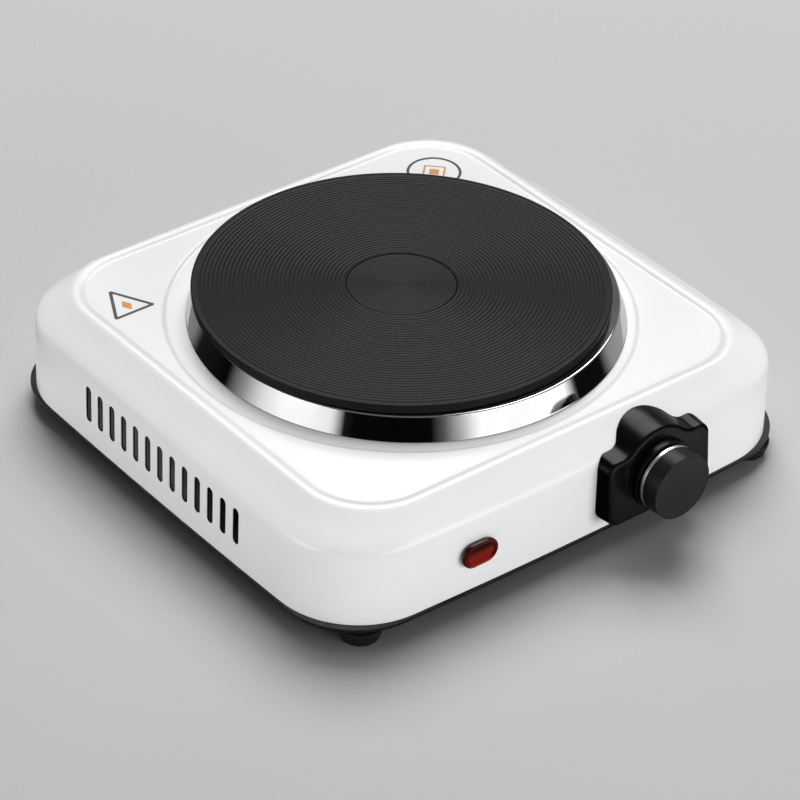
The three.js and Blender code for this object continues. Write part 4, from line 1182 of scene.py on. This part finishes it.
# The polished ring's surroundings: brightness by the angle to the right of the camera's own direction.
SURROUND = [
    (-180, 0.002),
    (-134, 0.002),
    (-124, 0.24),
    (-110, 0.2),
    (-102, 0.01),
    (-78, 0.002),
    (-68, 0.32),
    (-60, 0.78),
    (-50, 1.1),
    (-38, 1.12),
    (-29, 0.95),
    (-24, 0.01),
    (-20, 0.002),
    (10, 0.002),
    (15, 0.1),
    (22, 0.5),
    (29, 1.15),
    (69, 1.2),
    (75, 0.004),
    (94, 0.004),
    (102, 0.28),
    (136, 0.4),
    (180, 0.002),
]


def make_surround():
    """A low drum round the object, bright and dark by turns, that only shows in polished surfaces."""
    radius, low, high, steps = 0.2, 0.001, 0.11, 180
    angles = np.radians(np.linspace(0, 360, steps, endpoint=False))
    points = [(radius * math.cos(a), radius * math.sin(a), z) for z in (low, high) for a in angles]
    quads = [(i, (i + 1) % steps, (i + 1) % steps + steps, i + steps) for i in range(steps)]
    nodes = Nodes("surround").set(Specular_IOR_Level=0, Base_Color=(0, 0, 0, 1), Emission_Strength=1)
    # The gradient runs once round the drum and starts behind the object, seen from the camera.
    turn = math.radians(90 - CAMERA_AZIMUTH)
    where = nodes.node("ShaderNodeMapping", {"Vector": nodes.place, "Rotation": (0, 0, turn)})
    angle = nodes.node("ShaderNodeTexGradient", {"Vector": where.outputs[0]}, gradient_type="RADIAL")
    ramp = nodes.node("ShaderNodeValToRGB", {"Fac": angle.outputs["Fac"]})
    stops = ramp.color_ramp.elements
    for azimuth, _ in SURROUND[1:-1]:
        stops.new((azimuth + 180) / 360)
    for stop, (azimuth, brightness) in zip(stops, SURROUND):
        stop.position = (azimuth + 180) / 360
        stop.color = (brightness, brightness, brightness, 1)
    nodes.link(ramp.outputs["Color"], "Emission Color")
    drum = stage_mesh("surround", points, quads, nodes.material)
    drum.visible_camera = drum.visible_diffuse = False
    drum.visible_shadow = drum.visible_transmission = False


def light_object_only(lights):
    """Keeps the fill lights off the floor, so that the object's soft shadow stays."""
    lit = bpy.data.collections.new("lit_pieces")
    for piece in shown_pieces():
        lit.objects.link(piece)
    for light in lights:
        light.light_linking.receiver_collection = lit


def make_world(strength):
    world = bpy.data.worlds.new("studio")
    bpy.context.scene.world = world
    world.use_nodes = True
    background = world.node_tree.nodes["Background"]
    background.inputs["Color"].default_value = (1, 1, 1, 1)
    background.inputs["Strength"].default_value = strength


CAMERA_AZIMUTH = -39.216  # degrees from straight in front, to the right when positive
CAMERA_ELEVATION = 35.367
CAMERA_ROLL = 1.683
CAMERA_PLACE = (-0.80919, -0.98318, 0.91794)  # metres
CAMERA_LENS = 157.58  # millimetres, on a sensor 36 mm wide


def make_camera():
    """The camera at the photograph's viewing angle."""
    azimuth, elevation, roll = map(math.radians, (CAMERA_AZIMUTH, CAMERA_ELEVATION, CAMERA_ROLL))
    back = direction(azimuth, elevation)
    level = Vector((math.cos(azimuth), math.sin(azimuth), 0))
    upright = back.cross(level)
    right = math.cos(roll) * level + math.sin(roll) * upright
    up = -math.sin(roll) * level + math.cos(roll) * upright
    camera = bpy.data.objects.new("camera", bpy.data.cameras.new("camera"))
    bpy.context.scene.collection.objects.link(camera)
    camera.data.sensor_width = 36
    camera.data.lens = CAMERA_LENS
    camera.data.clip_start, camera.data.clip_end = 0.05, 20
    turn = Matrix((right, up, back)).transposed().to_4x4()
    camera.matrix_world = Matrix.Translation(CAMERA_PLACE) @ turn
    bpy.context.scene.camera = camera


# ---- carried-over CAD nodes
CAD_WELD = 0.00001  # metres, for the seams between the facets
CAD_EDGE = 0.0001  # metres, the width of a rounded edge
CAD_SHARP = math.radians(40)


def dress_cad_nodes(materials):
    """Gives every CAD node its slot's material, and those that show small rounded edges."""
    slots = {part["node"]: part["material_slot"] for part in frame["record"]["subparts"]}
    for name, node in frame["nodes"].items():
        node.data.materials.clear()
        node.data.materials.append(materials[slots[name]])
        if node.hide_render:
            continue
        weld = node.modifiers.new("weld", "WELD")
        weld.merge_threshold = CAD_WELD
        edges = node.modifiers.new("edges", "BEVEL")
        edges.width = CAD_EDGE
        edges.segments = 2
        edges.limit_method = "ANGLE"
        edges.angle_limit = CAD_SHARP


# ---- the scene
def make_lights():
    """A large key behind on the right and weak fills in front. Gives the fills that light the object
    only; low_fill, which stands in the same place as front_fill, lights the floor too."""
    add_panel("key", 138, 56, 4, (2.6, 2.6), 142)
    front = add_panel("front_fill", 10, 13, 1.5, (1.1, 0.6), 11.2)
    add_panel("low_fill", 10, 13, 1.5, (1.1, 0.6), 3.6)
    left = add_panel("left_fill", -94, 12, 1.5, (0.9, 0.6), 9)
    return [front, left]


def main():
    bpy.context.scene.view_settings.view_transform = "Standard"
    make_camera()
    make_floor()
    make_world(0.11)
    fills = make_lights()
    make_surround()

    materials = make_materials()
    make_housing(materials["enamel"], materials["painted_shade_inside"])
    make_tray(materials["black_paint"])
    for corner in CORNERS:
        make_foot(corner, materials["rubber"])
        make_screw(f"foot_screw_{corner}", 2.2, materials["zinc_steel"])
    for i in range(4):
        make_screw(f"base_screw_{i + 1}", 1.8, materials["zinc_steel"])
    make_plate(materials["cast_iron"])
    make_ring(materials["polished_steel"])
    make_knob(materials["knob_plastic"])
    make_band(materials["satin_band"])
    make_block(materials["black_plastic"])
    make_lens(materials["red_lens"])
    make_lamp_window(materials["red_window"])
    make_gland(materials["rubber"])
    make_marks(materials["ink"], materials["orange"])
    dress_cad_nodes(materials)
    light_object_only(fills)


main()
